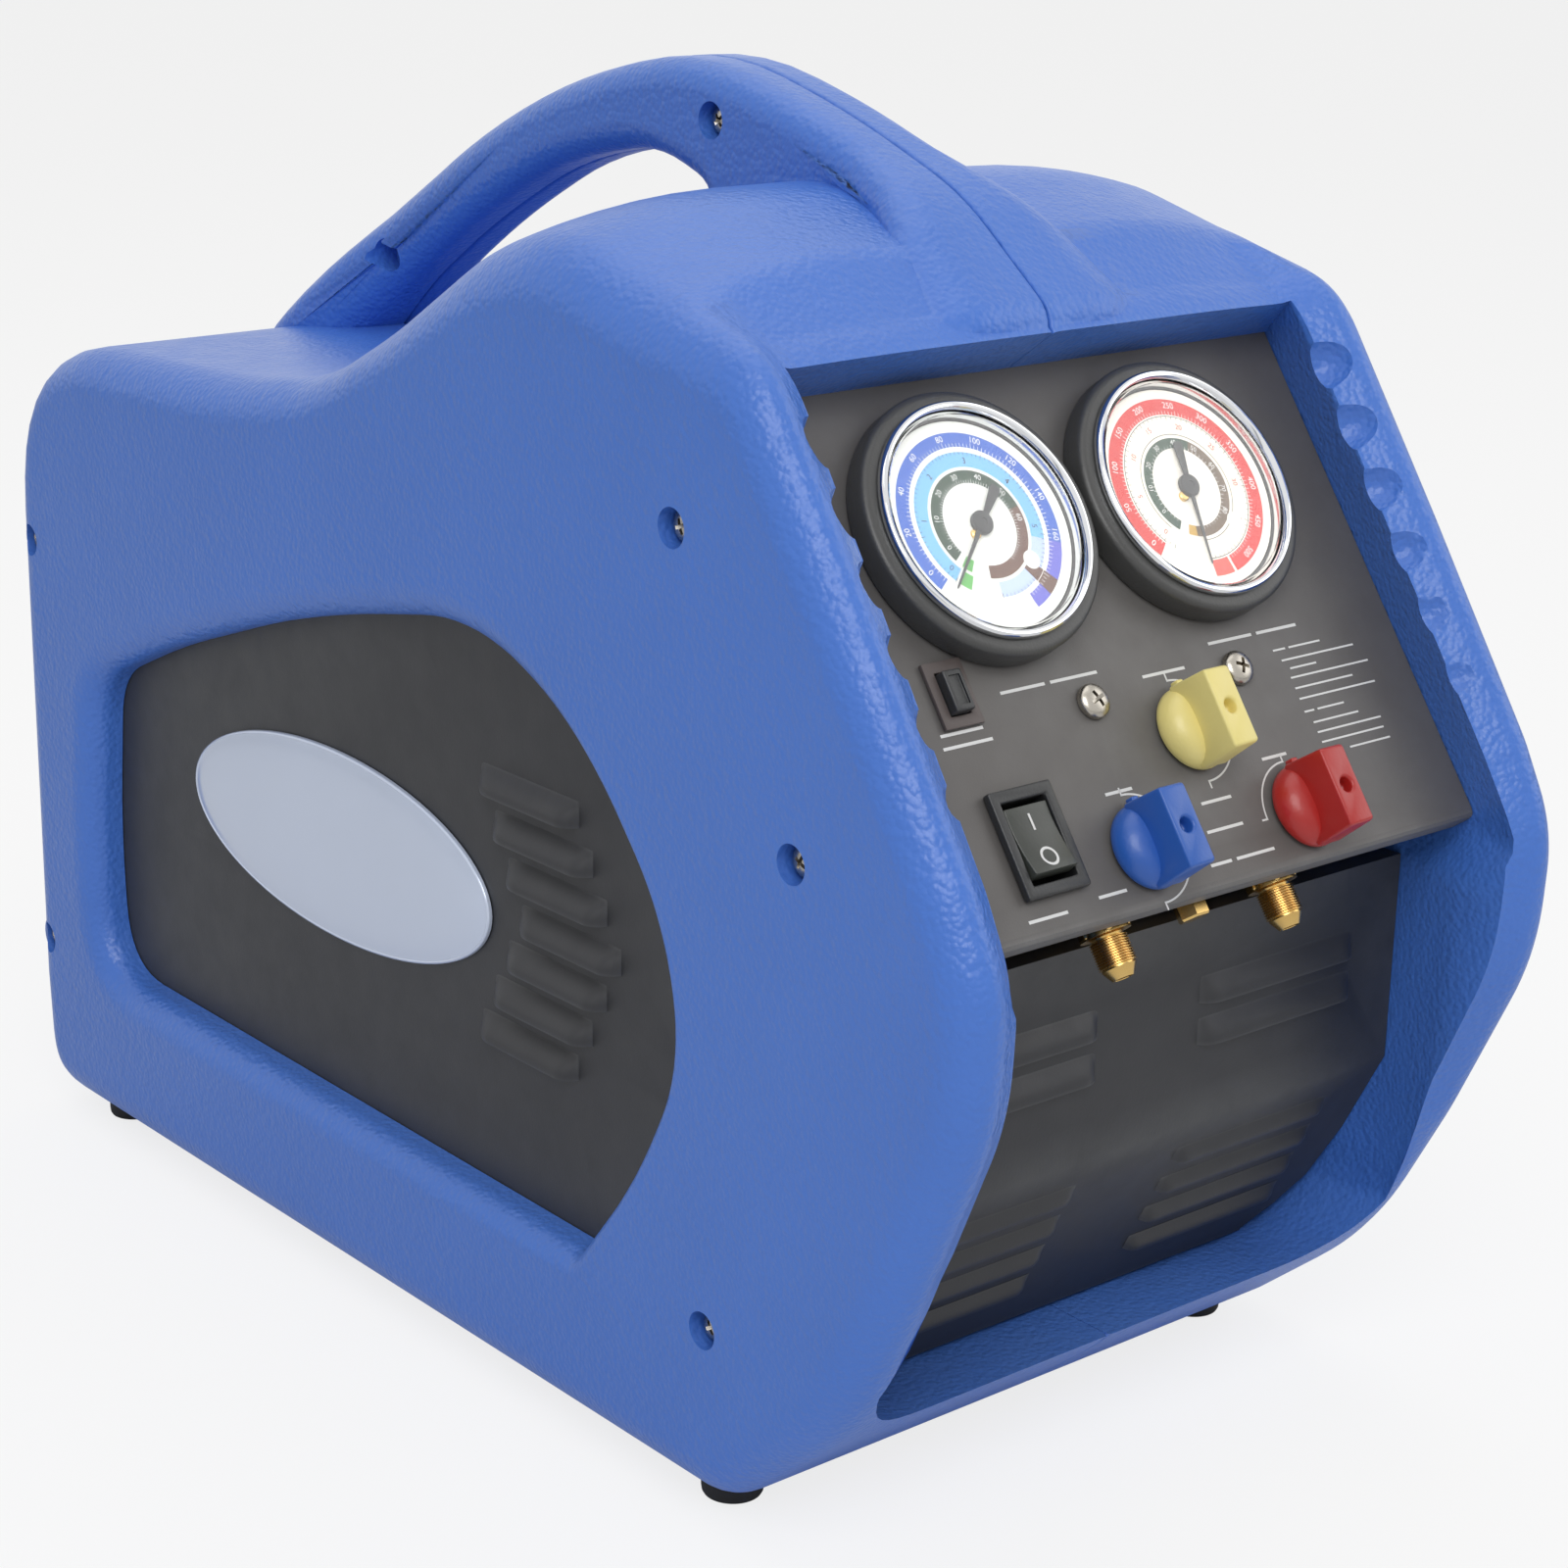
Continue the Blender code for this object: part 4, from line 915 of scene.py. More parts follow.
def handle_solid():
    outline = rounded(HANDLE_CORNERS, 5)
    flat = GRIP_HALF - GRIP_ROUND
    depths = [(-3.0, 1.3), *GROOVE, (flat, 0.0)]
    for k in range(1, 8):
        angle = math.pi / 2 * k / 7
        depths.append((flat + GRIP_ROUND * math.sin(angle), GRIP_ROUND * (1 - math.cos(angle))))
    rings = []
    for x, depth in depths:
        row = []
        for p in inset(outline, depth):
            flare = 1 + 1.3 * smooth(70, 140, -p.x) + 0.9 * smooth(140, 215, p.x)
            row.append((x if x < 2.0 else x * flare, p.x, p.y))
        rings.append(row)
    return loft(rings)


def air_outlet():
    half = GRILLE_HALF - 6.0
    low, high = GRILLE_LOW + 6, GRILLE_HIGH - 6
    corners = [(-half, low, 14), (half, low, 14), (half, high, 14), (-half, high, 14)]
    return slab(rounded(corners, 8), REAR_Y - 20, REAR_Y + 20, "Y")


def shell_half():
    shell = weld(body_solid(0.0), handle_solid())
    cavity = combine(body_solid(WALL), slab(INNER_FRONT, -5, 200), "INTERSECT")
    outlet = air_outlet()
    cut(shell, cavity)
    weld(shell, window_rim())
    cut(shell, front_opening(), side_window(), outlet, *finger_scallops())
    cut(shell, box((-20, SEAM), (-400, 400), (-50, 500)))
    for y, z in SHELL_SCREWS:
        at = (0.0, y, z)
        weld(shell, rod(7.5, HALF_WIDTH - 23.0, HALF_WIDTH - 3.0, "X", at))
        cut(shell, rod(POCKET_R, HALF_WIDTH - POCKET_FLOOR, HALF_WIDTH + 30, "X", at))
        cut(shell, rod(2.6, HALF_WIDTH - 30.0, HALF_WIDTH - 4.0, "X", at, 16))
    return shell


def build_shells():
    right = shell_half()
    left = mirrored(right)
    x, z = INLET_AT
    cut(left, box((x - 14, x + 14), (REAR_Y - 30, REAR_Y + 30), (z - 10.5, z + 10.5)))
    for spot in (HANDLE_SCREW, HANDLE_REAR_POCKET):
        cut(left, rod(POCKET_R, -40, POCKET_FLOOR - GRIP_HALF, "X", (0.0, *spot)))
    for name, half in (("left_shell", left), ("right_shell", right)):
        bevel(half, sizes().edge, 2, 38.0)
        settle(half, name + "_moulding", shell_finish(), [name], sharp=40.0)
        even_normals(half)


# Pressed sheet

HOOD_SHEET = 0.8
SIDE_HOOD = (47.5, 8.0)
SIDE_ROW_TOP = 188.4
SIDE_ROW_PITCH = 12.7
LOWER_HOOD_X = 52.0
LOWER_SLOT_HALF = 27.0
WIDE_HOOD = (64.0, 8.0, 3.1, (6, 6))
WIDE_ROWS = (147.0, 134.5)
SLIM_HOOD = (64.0, 5.4, 2.5, (5, 5))
SLIM_ROWS = (94.0, 81.4, 68.8, 56.2)

def louvre(length, tall, rise, ends):
    """A pressed hood: x along it, y up its sheet, z off the sheet, its lip at the bottom."""
    columns, rows = 40, 10
    half = length / 2
    bm = bmesh.new()
    grid = []
    for i in range(columns + 1):
        x = -half + length * i / columns
        reach = min((half + x) / ends[0], (half - x) / ends[1], 1.0)
        swell = math.sin(math.pi / 2 * max(reach, 0.0)) ** 0.7
        line = []
        for j in range(rows + 1):
            down = j / rows
            off = rise * swell * math.sin(math.radians(104) * down) ** 1.15
            line.append(bm.verts.new((x, tall / 2 - tall * down, off)))
        grid.append(line)
    for i in range(columns):
        for j in range(rows):
            bm.faces.new((grid[i][j], grid[i + 1][j], grid[i + 1][j + 1], grid[i][j + 1]))
    thing = mesh_object(bm)
    modifier = thing.modifiers.new("sheet", "SOLIDIFY")
    modifier.thickness = HOOD_SHEET
    modifier.offset = -1.0
    return apply_modifiers(thing)


def build_side_panels():
    outer = SIDE_FACE
    plate = slab(inset(rounded(WINDOW_CORNERS, 9), -6.0), outer - SHEET, outer)
    slots, hoods = [], []
    stand = Matrix(((0, 0, 1, 0), (1, 0, 0, 0), (0, 1, 0, 0), (0, 0, 0, 1)))
    for row in range(7):
        y = -60.5 + 6.6 * abs(row - 3)
        z = SIDE_ROW_TOP - SIDE_ROW_PITCH * row
        slots.append(box((outer - 9, outer + 3), (y - 20.0, y + 20.0), (z - 4.4, z - 1.2)))
        hood = louvre(*SIDE_HOOD, sizes().louvre, (5.5, 9.0))
        hoods.append(move(hood, Matrix.Translation((outer - 0.05, y, z + 0.6)) @ stand))
    cut(plate, join(*slots))
    right = join(plate, *hoods)
    for name, half in (("left_side_panel", mirrored(right)), ("right_side_panel", right)):
        settle(half, name + "_sheet", sheet_finish(), [name], sharp=40.0)


# The badge's section: share of its size, height off the sheet
BADGE_SECTION = (
    (1.0, 0.0), (1.0, 0.9), (0.992, 1.35), (0.975, 1.5), (0.965, 1.25), (0.955, 1.3),
    (0.9, 1.75), (0.8, 2.25), (0.65, 2.65), (0.45, 2.95), (0.2, 3.08), (0.05, 3.1),
)


def build_badges():
    """The bare domed oval plates, each with a rolled rim."""
    angles = [2 * math.pi * k / 96 for k in range(96)]
    for name, sign in (("left_badge", -1), ("right_badge", 1)):
        rings = []
        for size, depth in BADGE_SECTION:
            x = sign * (SIDE_FACE + GAP + depth)
            long = BADGE_HALF[0] - BADGE_HALF[1] * (1 - size)
            short = BADGE_HALF[1] * size
            rings.append([
                (x, BADGE_AT[0] + long * math.cos(a), BADGE_AT[1] + short * math.sin(a)) for a in angles])
        settle(loft(rings), name + "_plate", badge_finish(), [name], sharp=50.0)


def sheet_strip(path, thickness):
    """A closed outline for folded sheet that follows a path of points."""
    points = [Vector(p) for p in path]
    ways = [(after - point).normalized() for point, after in zip(points, points[1:])]
    far = []
    for point, before, after in zip(points, ways[:1] + ways, ways + ways[-1:]):
        out = Vector((-before.y, before.x))
        side = (out + Vector((-after.y, after.x))).normalized()
        far.append(point + side * thickness / max(side.dot(out), 0.5))
    return points + far[::-1]


def lower_louvres():
    """The lower sheet's hoods and the slots under them, wide ones above slim ones."""
    fold = Matrix.Translation((0.0, CHASSIS_Y, FOLD_Z))
    lean = fold @ Matrix.Rotation(math.atan2(31.0, 62.0), 4, "X") @ fold.inverted()
    stand = Matrix(((1, 0, 0, 0), (0, 0, -1, CHASSIS_Y + 0.05), (0, 1, 0, 0), (0, 0, 0, 1)))
    slots, hoods = [], []
    for x in (-LOWER_HOOD_X, LOWER_HOOD_X):
        width = (x - LOWER_SLOT_HALF, x + LOWER_SLOT_HALF)
        for z in WIDE_ROWS:
            hoods.append(move(louvre(*WIDE_HOOD), Matrix.Translation((x, 0, z + 0.4)) @ stand))
            slots.append(box(width, (CHASSIS_Y - 2.2, CHASSIS_Y + 9), (z - 4.8, z - 2.4)))
        for z in SLIM_ROWS:
            hood = move(louvre(*SLIM_HOOD), Matrix.Translation((x, 0, z + 0.25)) @ stand)
            hoods.append(move(hood, lean))
            slot = box(width, (CHASSIS_Y - 1.8, CHASSIS_Y + 9), (z - 3.8, z - 1.4))
            slots.append(move(slot, lean))
    return slots, hoods


def build_lower_panel():
    """The louvred sheet below the control panel, folded back to the base."""
    side = OPENING_HALF - GAP
    path = [(CHASSIS_Y + 12, 170.5), (CHASSIS_Y, 170.5), (CHASSIS_Y, FOLD_Z), (-159, 45.5), (-143, 45.5)]
    plate = slab(sheet_strip(path, SHEET), -side, side)
    slots, hoods = lower_louvres()
    cut(plate, join(*slots))
    for sign in (-1, 1):
        edge = [(side, 79.5), (side - 4.5, 61.5), (side - 14, 52.5), (side - 24, 46.5)]
        notch = [(sign * x, z) for x, z in edge + [(side - 24, 20.0), (140, 20.0), (140, 79.5)]]
        cut(plate, slab(notch, CHASSIS_Y - 10, -120, "Y"))
    bevel(plate, 0.5, 2, 25.0)
    settle(join(plate, *hoods), "lower_front_panel_sheet", sheet_finish(), ["lower_front_panel"],
           sharp=40.0)


# Flat art: print, dial bands and ticks

def flat_bar(bm, centre, size, angle, height, index=0):
    """One printed rectangle, long side turned to an angle in degrees."""
    turn = Matrix.Rotation(math.radians(angle), 2)
    corners = []
    for a, b in ((-1, -1), (1, -1), (1, 1), (-1, 1)):
        p = Vector(centre) + turn @ Vector((a * size[0] / 2, b * size[1] / 2))
        corners.append(bm.verts.new((p.x, p.y, height)))
    bm.faces.new(corners).material_index = index


def flat_band(bm, inner, outer, start, end, height, index=0, centre=(0.0, 0.0)):
    """Part of a printed ring between two radii and two angles in degrees."""
    steps = max(2, int(abs(end - start) / 3))
    low = arc_points(inner, start, end, steps, centre)
    high = arc_points(outer, start, end, steps, centre)
    lows = [bm.verts.new((*p, height)) for p in low]
    highs = [bm.verts.new((*p, height)) for p in high]
    for k in range(steps):
        bm.faces.new((lows[k], highs[k], highs[k + 1], lows[k + 1])).material_index = index


def flat_object(bm):
    """Turn flat art in millimetres into an object, all of it facing out of its own plane."""
    bm.normal_update()
    bmesh.ops.reverse_faces(bm, faces=[face for face in bm.faces if face.normal.z < 0])
    return bare_object(bm)


# Gauges: bands are (inner radius, outer radius, from, to, ink), angles in degrees

BAND_LIFT = 0.02
BAND_STEP = 0.008
RING_LIFT = 0.11
TICK_LIFT = 0.12
NUMBER_LIFT = 0.13
TICK_WIDTH = 0.16
LONG_TICK = 1.7
GAUGE_INKS = {
    "suction": ((0.74, 0.75, 0.70), (0.012, 0.095, 0.47), (0.15, 0.42, 0.78), (0.008, 0.040, 0.016),
                (0.115, 0.048, 0.028), (0.10, 0.10, 0.50), (0.10, 0.40, 0.08), (0.42, 0.52, 0.86)),
    "discharge": ((0.80, 0.76, 0.68), (0.58, 0.016, 0.012), (0.86, 0.79, 0.67), (0.022, 0.060, 0.034),
                  (0.130, 0.085, 0.050), (0.70, 0.07, 0.05), (0.50, 0.30, 0.05), (0.80, 0.74, 0.62)),
}
GAUGE_BANDS = {
    "suction": (
        (22.4, 26.6, 214, -20, 1), (22.4, 26.6, -20, -72, 5), (16.6, 20.9, 222, -20, 2),
        (16.6, 20.9, -20, -96, 7), (16.6, 20.9, 226, 236, 6), (11.9, 15.6, 214, 12, 3),
        (11.9, 15.6, 12, -104, 4), (11.9, 15.6, 222, 234, 6), (16.6, 26.6, -46, -58, 4),
        (22.4, 26.6, 214, 216, 1),
    ),
    "discharge": (
        (22.2, 27.0, 222, -78, 1), (22.2, 27.0, -80, -96, 5), (15.6, 21.6, 230, -96, 2),
        (11.9, 15.0, 232, 60, 3), (11.9, 15.0, 60, -104, 4), (16.0, 21.2, -64, -78, 7),
        (11.9, 15.0, 244, 256, 6),
    ),
}
DIAL_LINES = ((0.78, 0.78, 0.76), (0.03, 0.03, 0.035), (0.45, 0.03, 0.02))
# Scales: tick radius, length, from, to, count, long every, index of its line colour
GAUGE_SCALES = {
    "suction": (
        (22.9, 1.1, 214, -72, 96, 8, 0), (20.5, 0.9, 222, -96, 80, 10, 1), (12.3, 0.9, 214, -60, 72, 6, 0)),
    "discharge": (
        (22.7, 1.1, 222, -78, 100, 10, 0), (21.2, 0.9, 230, -96, 66, 6, 1), (12.3, 0.8, 232, -90, 54, 6, 0)),
}
# Numbers: radius, height, from, to, first, step, count, index of its line colour
GAUGE_NUMBERS = {
    "suction": (
        (24.9, 1.9, 205, -15, 0, 20, 9, 0), (18.3, 1.9, 214, -10, 0, 1, 6, 1),
        (14.0, 1.7, 200, 0, 0, 10, 7, 0)),
    "discharge": (
        (25.0, 2.0, 214, -60, 0, 50, 11, 0), (18.6, 1.8, 218, -40, 0, 5, 8, 2),
        (13.5, 1.6, 205, -40, 0, 10, 9, 0)),
}


def number_mesh(value, height):
    """One plain number as a flat mesh, from the built-in font."""
    curve = bpy.data.curves.new("number", "FONT")
    curve.body = str(value)
    curve.size = height * 1.35
    curve.align_x = "CENTER"
    curve.align_y = "CENTER"
    curve.resolution_u = 3
    letters = new_object("number", curve)
    graph = bpy.context.evaluated_depsgraph_get()
    mesh = bpy.data.meshes.new_from_object(letters.evaluated_get(graph))
    bpy.data.objects.remove(letters)
    bpy.data.curves.remove(curve)
    return mesh


def dial_numbers(side, first_ink):
    """The scale's numbers, one ink to each material slot."""
    bm = bmesh.new()
    for radius, height, start, end, first, step, count, ink in GAUGE_NUMBERS[side]:
        for k in range(count):
            angle = start + (end - start) * k / (count - 1)
            mesh = number_mesh(first + step * k, height)
            spot = (heading(angle) * radius).to_3d() + Vector((0.0, 0.0, DIAL_FACE + NUMBER_LIFT))
            mesh.transform(Matrix.Translation(spot) @ Matrix.Rotation(math.radians(angle - 90), 4, "Z"))
            for face in mesh.polygons:
                face.material_index = first_ink + ink
            bm.from_mesh(mesh)
            bpy.data.meshes.remove(mesh)
    return bm


def dial_art(side):
    """Bands, ticks and numbers of one dial."""
    inks = len(GAUGE_INKS[side])
    bm = dial_numbers(side, inks)
    for layer, (inner, outer, start, end, ink) in enumerate(GAUGE_BANDS[side]):
        flat_band(bm, inner, outer, start, end, DIAL_FACE + BAND_LIFT + BAND_STEP * layer, ink)
    for radius, length, start, end, count, long_every, ink in GAUGE_SCALES[side]:
        for k in range(count + 1):
            angle = start + (end - start) * k / count
            reach = length * (1.0 if k % long_every else LONG_TICK)
            spot = heading(angle) * radius
            flat_bar(bm, spot, (reach, TICK_WIDTH), angle, DIAL_FACE + TICK_LIFT, inks + ink)
    for radius in (21.65, 16.1):
        flat_band(bm, radius - 0.1, radius + 0.1, 222, -96, DIAL_FACE + RING_LIFT, inks + (side != "suction"))
    return bm


def gauge_needle(rest):
    """A fine pointer with a club tail on a turned hub."""
    low = DIAL_FACE + GAP
    section = [(3.3, 0), (3.4, 0.2), (3.4, 1.1), (3.1, 1.5), (2.2, 1.75), (1.0, 1.8), (0.9, 1.6)]
    hub = lathe([(0, low)] + [(radius, low + rise) for radius, rise in section] + [(0, low + 1.6)], 48)
    upper = [(23.2, 0.22), (10.0, 0.48), (-3.0, 0.8), (-9.0, 1.35), (-12.0, 1.65), (-12.9, 1.45),
             (-13.2, 1.0)]
    arm = [(x, -y) for x, y in reversed(upper)] + [(23.8, 0.0)] + upper
    pointer = bevel(slab(arm, low + 0.6, low + 1.2, "Z"), 0.12, 1)
    return turned(join(hub, pointer), rest)


def gauge_case():
    """A deep case with a raised flange outside its ring."""
    wall = CASE_R + 0.6
    brim = FLANGE_R + 0.9
    seat = DIAL_FACE - 1.0 - GAP
    return lathe([
        (0, -24), (CASE_R - 1, -24), (CASE_R, -23), (CASE_R, GAP), (brim - 0.9, GAP), (brim - 0.3, 1.0),
        (brim, 2.0), (brim, 7.4), (brim - 0.35, 8.3), (brim - 1.1, 8.9), (brim - 2.2, 9.1), (wall, 9.2),
        (wall, 6.6), (DIAL_R + 0.7, 6.6), (DIAL_R + 0.7, seat), (0, seat),
    ], 128)


def gauge_ring():
    """A narrow rolled ring with a steep inner wall down to the glass."""
    return lathe([
        (CASE_R + 0.9, 9.4), (RING_R - 0.3, 9.4), (RING_R, 9.7), (RING_R, 10.6), (RING_R - 0.2, 11.2),
        (RING_R - 0.7, 11.65), (RING_R - 1.3, 11.75), (RING_R - 1.9, 11.5), (RING_R - 2.3, 10.9),
        (RING_R - 2.7, 9.6), (RING_R - 3.3, 6.9), (RING_R - 2.6, 6.9), (CASE_R + 0.4, 9.2),
    ], 128)


def on_dial(section, steps=None, at=(0.0, 0.0, 0.0)):
    """Turn a section of (radius, height off the dial's face)."""
    return lathe([(radius, DIAL_FACE + rise) for radius, rise in section], steps, at=at)


def build_gauge(side, x):
    place = panel_place(x, 0.0)
    name = side + "_gauge_"
    inks = [print_ink("%s_dial_ink_%d" % (side, k), c) for k, c in enumerate(GAUGE_INKS[side])]
    lines = [print_ink("dial_line_%d" % k, c) for k, c in enumerate(DIAL_LINES)]
    settle(gauge_case(), name + "case_moulding", gauge_moulding(), [name + "case"], place)
    settle(gauge_ring(), name + "ring_chrome", chrome_finish(), [name + "ring"], place)
    plate = on_dial([(0, -1.0), (DIAL_R + 0.4, -1.0), (DIAL_R + 0.4, -0.2), (DIAL_R + 0.2, 0), (0, 0)])
    settle(plate, name + "dial_plate", inks[0], [name + "dial"], place)
    settle(flat_object(dial_art(side)), name + "scale", inks + lines, (), place)
    plug = on_dial([(0, 0), (2.7, 0), (2.7, 0.2), (2.3, 0.3), (0, 0.32)], 40, (12.4, -12.2, 0))
    settle(plug, name + "calibration_plug", print_ink("plug_resin", (0.66, 0.66, 0.62)), (), place)
    screw = on_dial([(0, 0), (1.5, 0), (1.5, 0.7), (1.2, 0.95), (0, 0.95)], 32, (-3.0, -2.6, 0))
    settle(screw, name + "adjuster", brass_finish(), (), place)
    settle(gauge_needle(NEEDLE_REST[side]), name + "pointer", black_moulding(), [name + "needle"],
           place, body=side + "_pointer")
    reach = CASE_R - 0.2
    low = 2.4 + GAP
    lens = on_dial([(0, low), (reach - 0.2, low), (reach, low + 0.2), (reach, low + LENS - 0.2),
                    (reach - 0.2, low + LENS), (0, low + LENS)])
    settle(lens, name + "glass", lens_finish(), [name + "lens"], place)


# Controls

def bar_grip():
    """The knob's raised bar, with sloping ends and a screw recess."""
    reach = KNOB_R + 0.4
    bar = block(4.6, reach, (3.6, KNOB_TOP))
    top = KNOB_TOP + 2
    for end in (-reach, reach):
        cut(bar, slab([(end * 1.3, 3.0), (end * 0.98, 3.0), (end * 0.90, top), (end * 1.3, top)], -10, 10))
    cut(bar, rod(2.1, KNOB_TOP - 4.0, KNOB_TOP + 4))
    return bevel(bar, 0.9, 3, 40.0)


def valve_knob(colour, x, u):
    """A domed base with a raised bar grip and a pointer rib."""
    dome = lathe([
        (0, 1.2), (KNOB_R - 0.4, 1.2), (KNOB_R, 1.6), (KNOB_R, 3.0), (KNOB_R - 0.3, 4.4), (KNOB_R - 1.2, 6.2),
        (KNOB_R - 2.8, 7.8), (KNOB_R - 5.0, 8.8), (KNOB_R - 7.0, 9.2), (0, 9.4),
    ], 72)
    pointer = bevel(box((-1.2, 1.2), (KNOB_R - 2.0, KNOB_R + 1.5), (1.6, 4.6)), 0.45, 2)
    settle(join(dome, bar_grip(), pointer), colour + "_knob_moulding", knob_finish(colour),
           [colour + "_knob"], panel_place(x, u), 48.0, colour + "_valve")


def rocker_height(t):
    """The rocker's curved face, from its raised end to its low end."""
    return 5.0 * (1 - t) ** 2 + 3.4 * t * (1 - t) + 2.4 * t ** 2


def switch_bezel(place):
    half_x, half_u = SWITCH_SIZE[0] / 2, SWITCH_SIZE[1] / 2
    hole = (ROCKER_SIZE[0] / 2 + 0.4, ROCKER_SIZE[1] / 2 + 0.8, (-9.5, 8))
    body = bevel(cut(block(half_x, half_u, (GAP, 3.0)), block(*hole)), 0.7, 3, 40.0)
    well = cut(block(half_x - 2.6, half_u - 2.6, (-20, 1.0)), block(*hole))
    settle(join(body, well), "switch_bezel", black_moulding(), ["switch_body"], place, 45.0)


def rocker_marks(low, place):
    """The I and O, laid on the rocker's curve."""
    bm = bmesh.new()
    flat_bar(bm, (0.0, 5.0), (0.75, 4.6), 0, 0.0)
    flat_band(bm, 2.0, 2.75, 0, 360, 0.0, 0, (0.0, -5.0))
    for vert in bm.verts:
        t = (math.sqrt(low * low + 0.8 * (low + vert.co.y)) - low) / 0.8
        vert.co.z = rocker_height(t) + 0.08
    settle(flat_object(bm), "power_rocker_marks", print_ink(), (), place, body="power_switch_rocker")


def rocker_switch():
    place = panel_place(*SWITCH_AT)
    switch_bezel(place)
    half = ROCKER_SIZE[1] / 2
    low = half - 1.6
    side = [(-low, 5.0)]
    for k in range(1, 9):
        t = k / 8
        side.append((-low * (1 - t) ** 2 + (half - 0.8) * t ** 2, rocker_height(t)))
    side += [(half - 0.8, -1.6), (3.0, -6.2), (-3.0, -6.2), (-half + 0.8, 0.4)]
    rocker = bevel(slab(side, -ROCKER_SIZE[0] / 2, ROCKER_SIZE[0] / 2), 0.45, 2, 40.0)
    olive = finish("switch_rocker_moulding", (0.036, 0.040, 0.034), rough=0.34, height=GRAIN,
                   cell=0.0009, depth=0.00002, worn=(0.14, 0.15, 0.13), wear=0.5)
    settle(rocker, "power_rocker_moulding", olive, ["power_rocker"], place, 45.0,
           "power_switch_rocker")
    rocker_marks(low, place)


def breaker():
    place = panel_place(*BREAKER_AT)
    half_x, half_u = BREAKER_SIZE[0] / 2, BREAKER_SIZE[1] / 2
    but_x, but_u = BUTTON_SIZE[0] / 2, BUTTON_SIZE[1] / 2
    plate = block(half_x, half_u, (GAP, 1.6))
    well = block(half_x - 2.7, half_u - 2.7, (-24, 1.0))
    for piece in (plate, well):
        cut(piece, block(but_x + 0.3, but_u + 0.3, (-12, 8)))
    bevel(plate, 0.3, 2, 40.0)
    taupe = finish("breaker_moulding", (0.088, 0.070, 0.066), rough=0.5, height=GRAIN, cell=0.0008,
                   depth=0.00002, worn=(0.2, 0.18, 0.17))
    settle(join(plate, well), "circuit_breaker_plate", taupe, ["circuit_breaker_body"],
           place, 45.0)
    button = bevel(block(but_x, but_u, (-8.0, 4.4)), 0.7, 3, 40.0)
    cut(button, bevel(block(but_x - 1.3, but_u - 1.6, (3.7, 6)), 0.3, 2, 40.0))
    settle(button, "circuit_breaker_push", black_moulding(), ["circuit_breaker_button"],
           place, 45.0, "breaker_button")


# Plain dashes where the panel has words: left end, height up the panel, lengths
LABELS = (
    (-49.0, -44.1, (16.0, 17.3)), (29.8, -43.3, (17.4, 16.3)), (1.4, -48.3, (16.3,)), (-73.9, -51.8, (14.8,)),
    (-74.6, -55.3, (17.2,)), (3.4, -85.9, (11.6,)), (-28.1, -77.0, (9.9,)), (1.3, -93.8, (13.9,)),
    (-2.2, -102.7, (8.0, 14.8)), (-44.2, -102.7, (10.2,)), (-69.8, -104.0, (13.8,)), (31.6, -78.3, (9.8,)),
)
NOTES = (
    (52.7, -49.3, (5.0, 13.0)), (54.4, -52.6, (30.0,)), (56.4, -55.3, (10.8,)), (55.1, -58.0, (32.5,)),
    (55.1, -61.2, (24.0,)), (55.0, -64.4, (31.8,)), (54.8, -68.3, (4.0, 11.0)), (56.5, -71.8, (18.8,)),
    (56.5, -74.8, (26.6,)), (56.5, -77.8, (26.0,)), (66.3, -81.1, (17.0,)),
)
# Printed arcs: centre, radius, from, to in degrees
ARCS = (
    ((9.5, -65.6), 14.8, 90, -90), ((-22.8, -93.4), 15.3, 90, -90), ((38.8, -94.6), 14.3, 90, 180),
)


def dashes(bm, rows, thick, gap, height):
    """Rows of plain dashes, one dash to each length."""
    for left, u, lengths in rows:
        x = left
        for length in lengths:
            flat_bar(bm, (x + length / 2, u), (length, thick), 0, height)
            x += length + gap


def panel_print():
    """White strokes, arcs and ticks on the control panel."""
    bm = bmesh.new()
    height = 0.05
    stroke = sizes().mark
    dashes(bm, LABELS, stroke * 1.6, 2.0, height)
    dashes(bm, NOTES, stroke, 1.4, height)
    for centre, radius, start, end in ARCS:
        flat_band(bm, radius - stroke / 2, radius + stroke / 2, start, end, height, 0, centre)
        for angle in (start, end):
            flat_bar(bm, Vector(centre) + heading(angle) * (radius + 0.9), (2.4, stroke), angle, height)
    settle(flat_object(bm), "control_panel_print", print_ink(), (), panel_place(0, 0))


def cross_arm(head, rise):
    """One arm of the recess, wider at the top."""
    rings = []
    for x, y, z in ((head * 0.22, 0.35, rise - 2.0), (head * 0.62, 0.6, rise + 0.6)):
        rings.append([(-x, -y, z), (x, -y, z), (x, y, z), (-x, y, z)])
    return loft(rings)


def cross_screw(head, rise, shank, length):
    """A pan-head screw along +Z, its head's underside on Z = 0, with a cross recess."""
    profile = [(0, -length), (shank, -length), (shank, 0), (head - 0.1, 0), (head, 0.15)]
    for k in range(7):
        angle = math.pi / 2 * k / 6
        profile.append((head * math.cos(angle), rise * 0.35 + rise * 0.65 * math.sin(angle)))
    profile[-1] = (0, rise)
    screw = lathe(profile, 56)
    for angle in (0, 90):
        cut(screw, turned(cross_arm(head, rise), angle))
    return screw


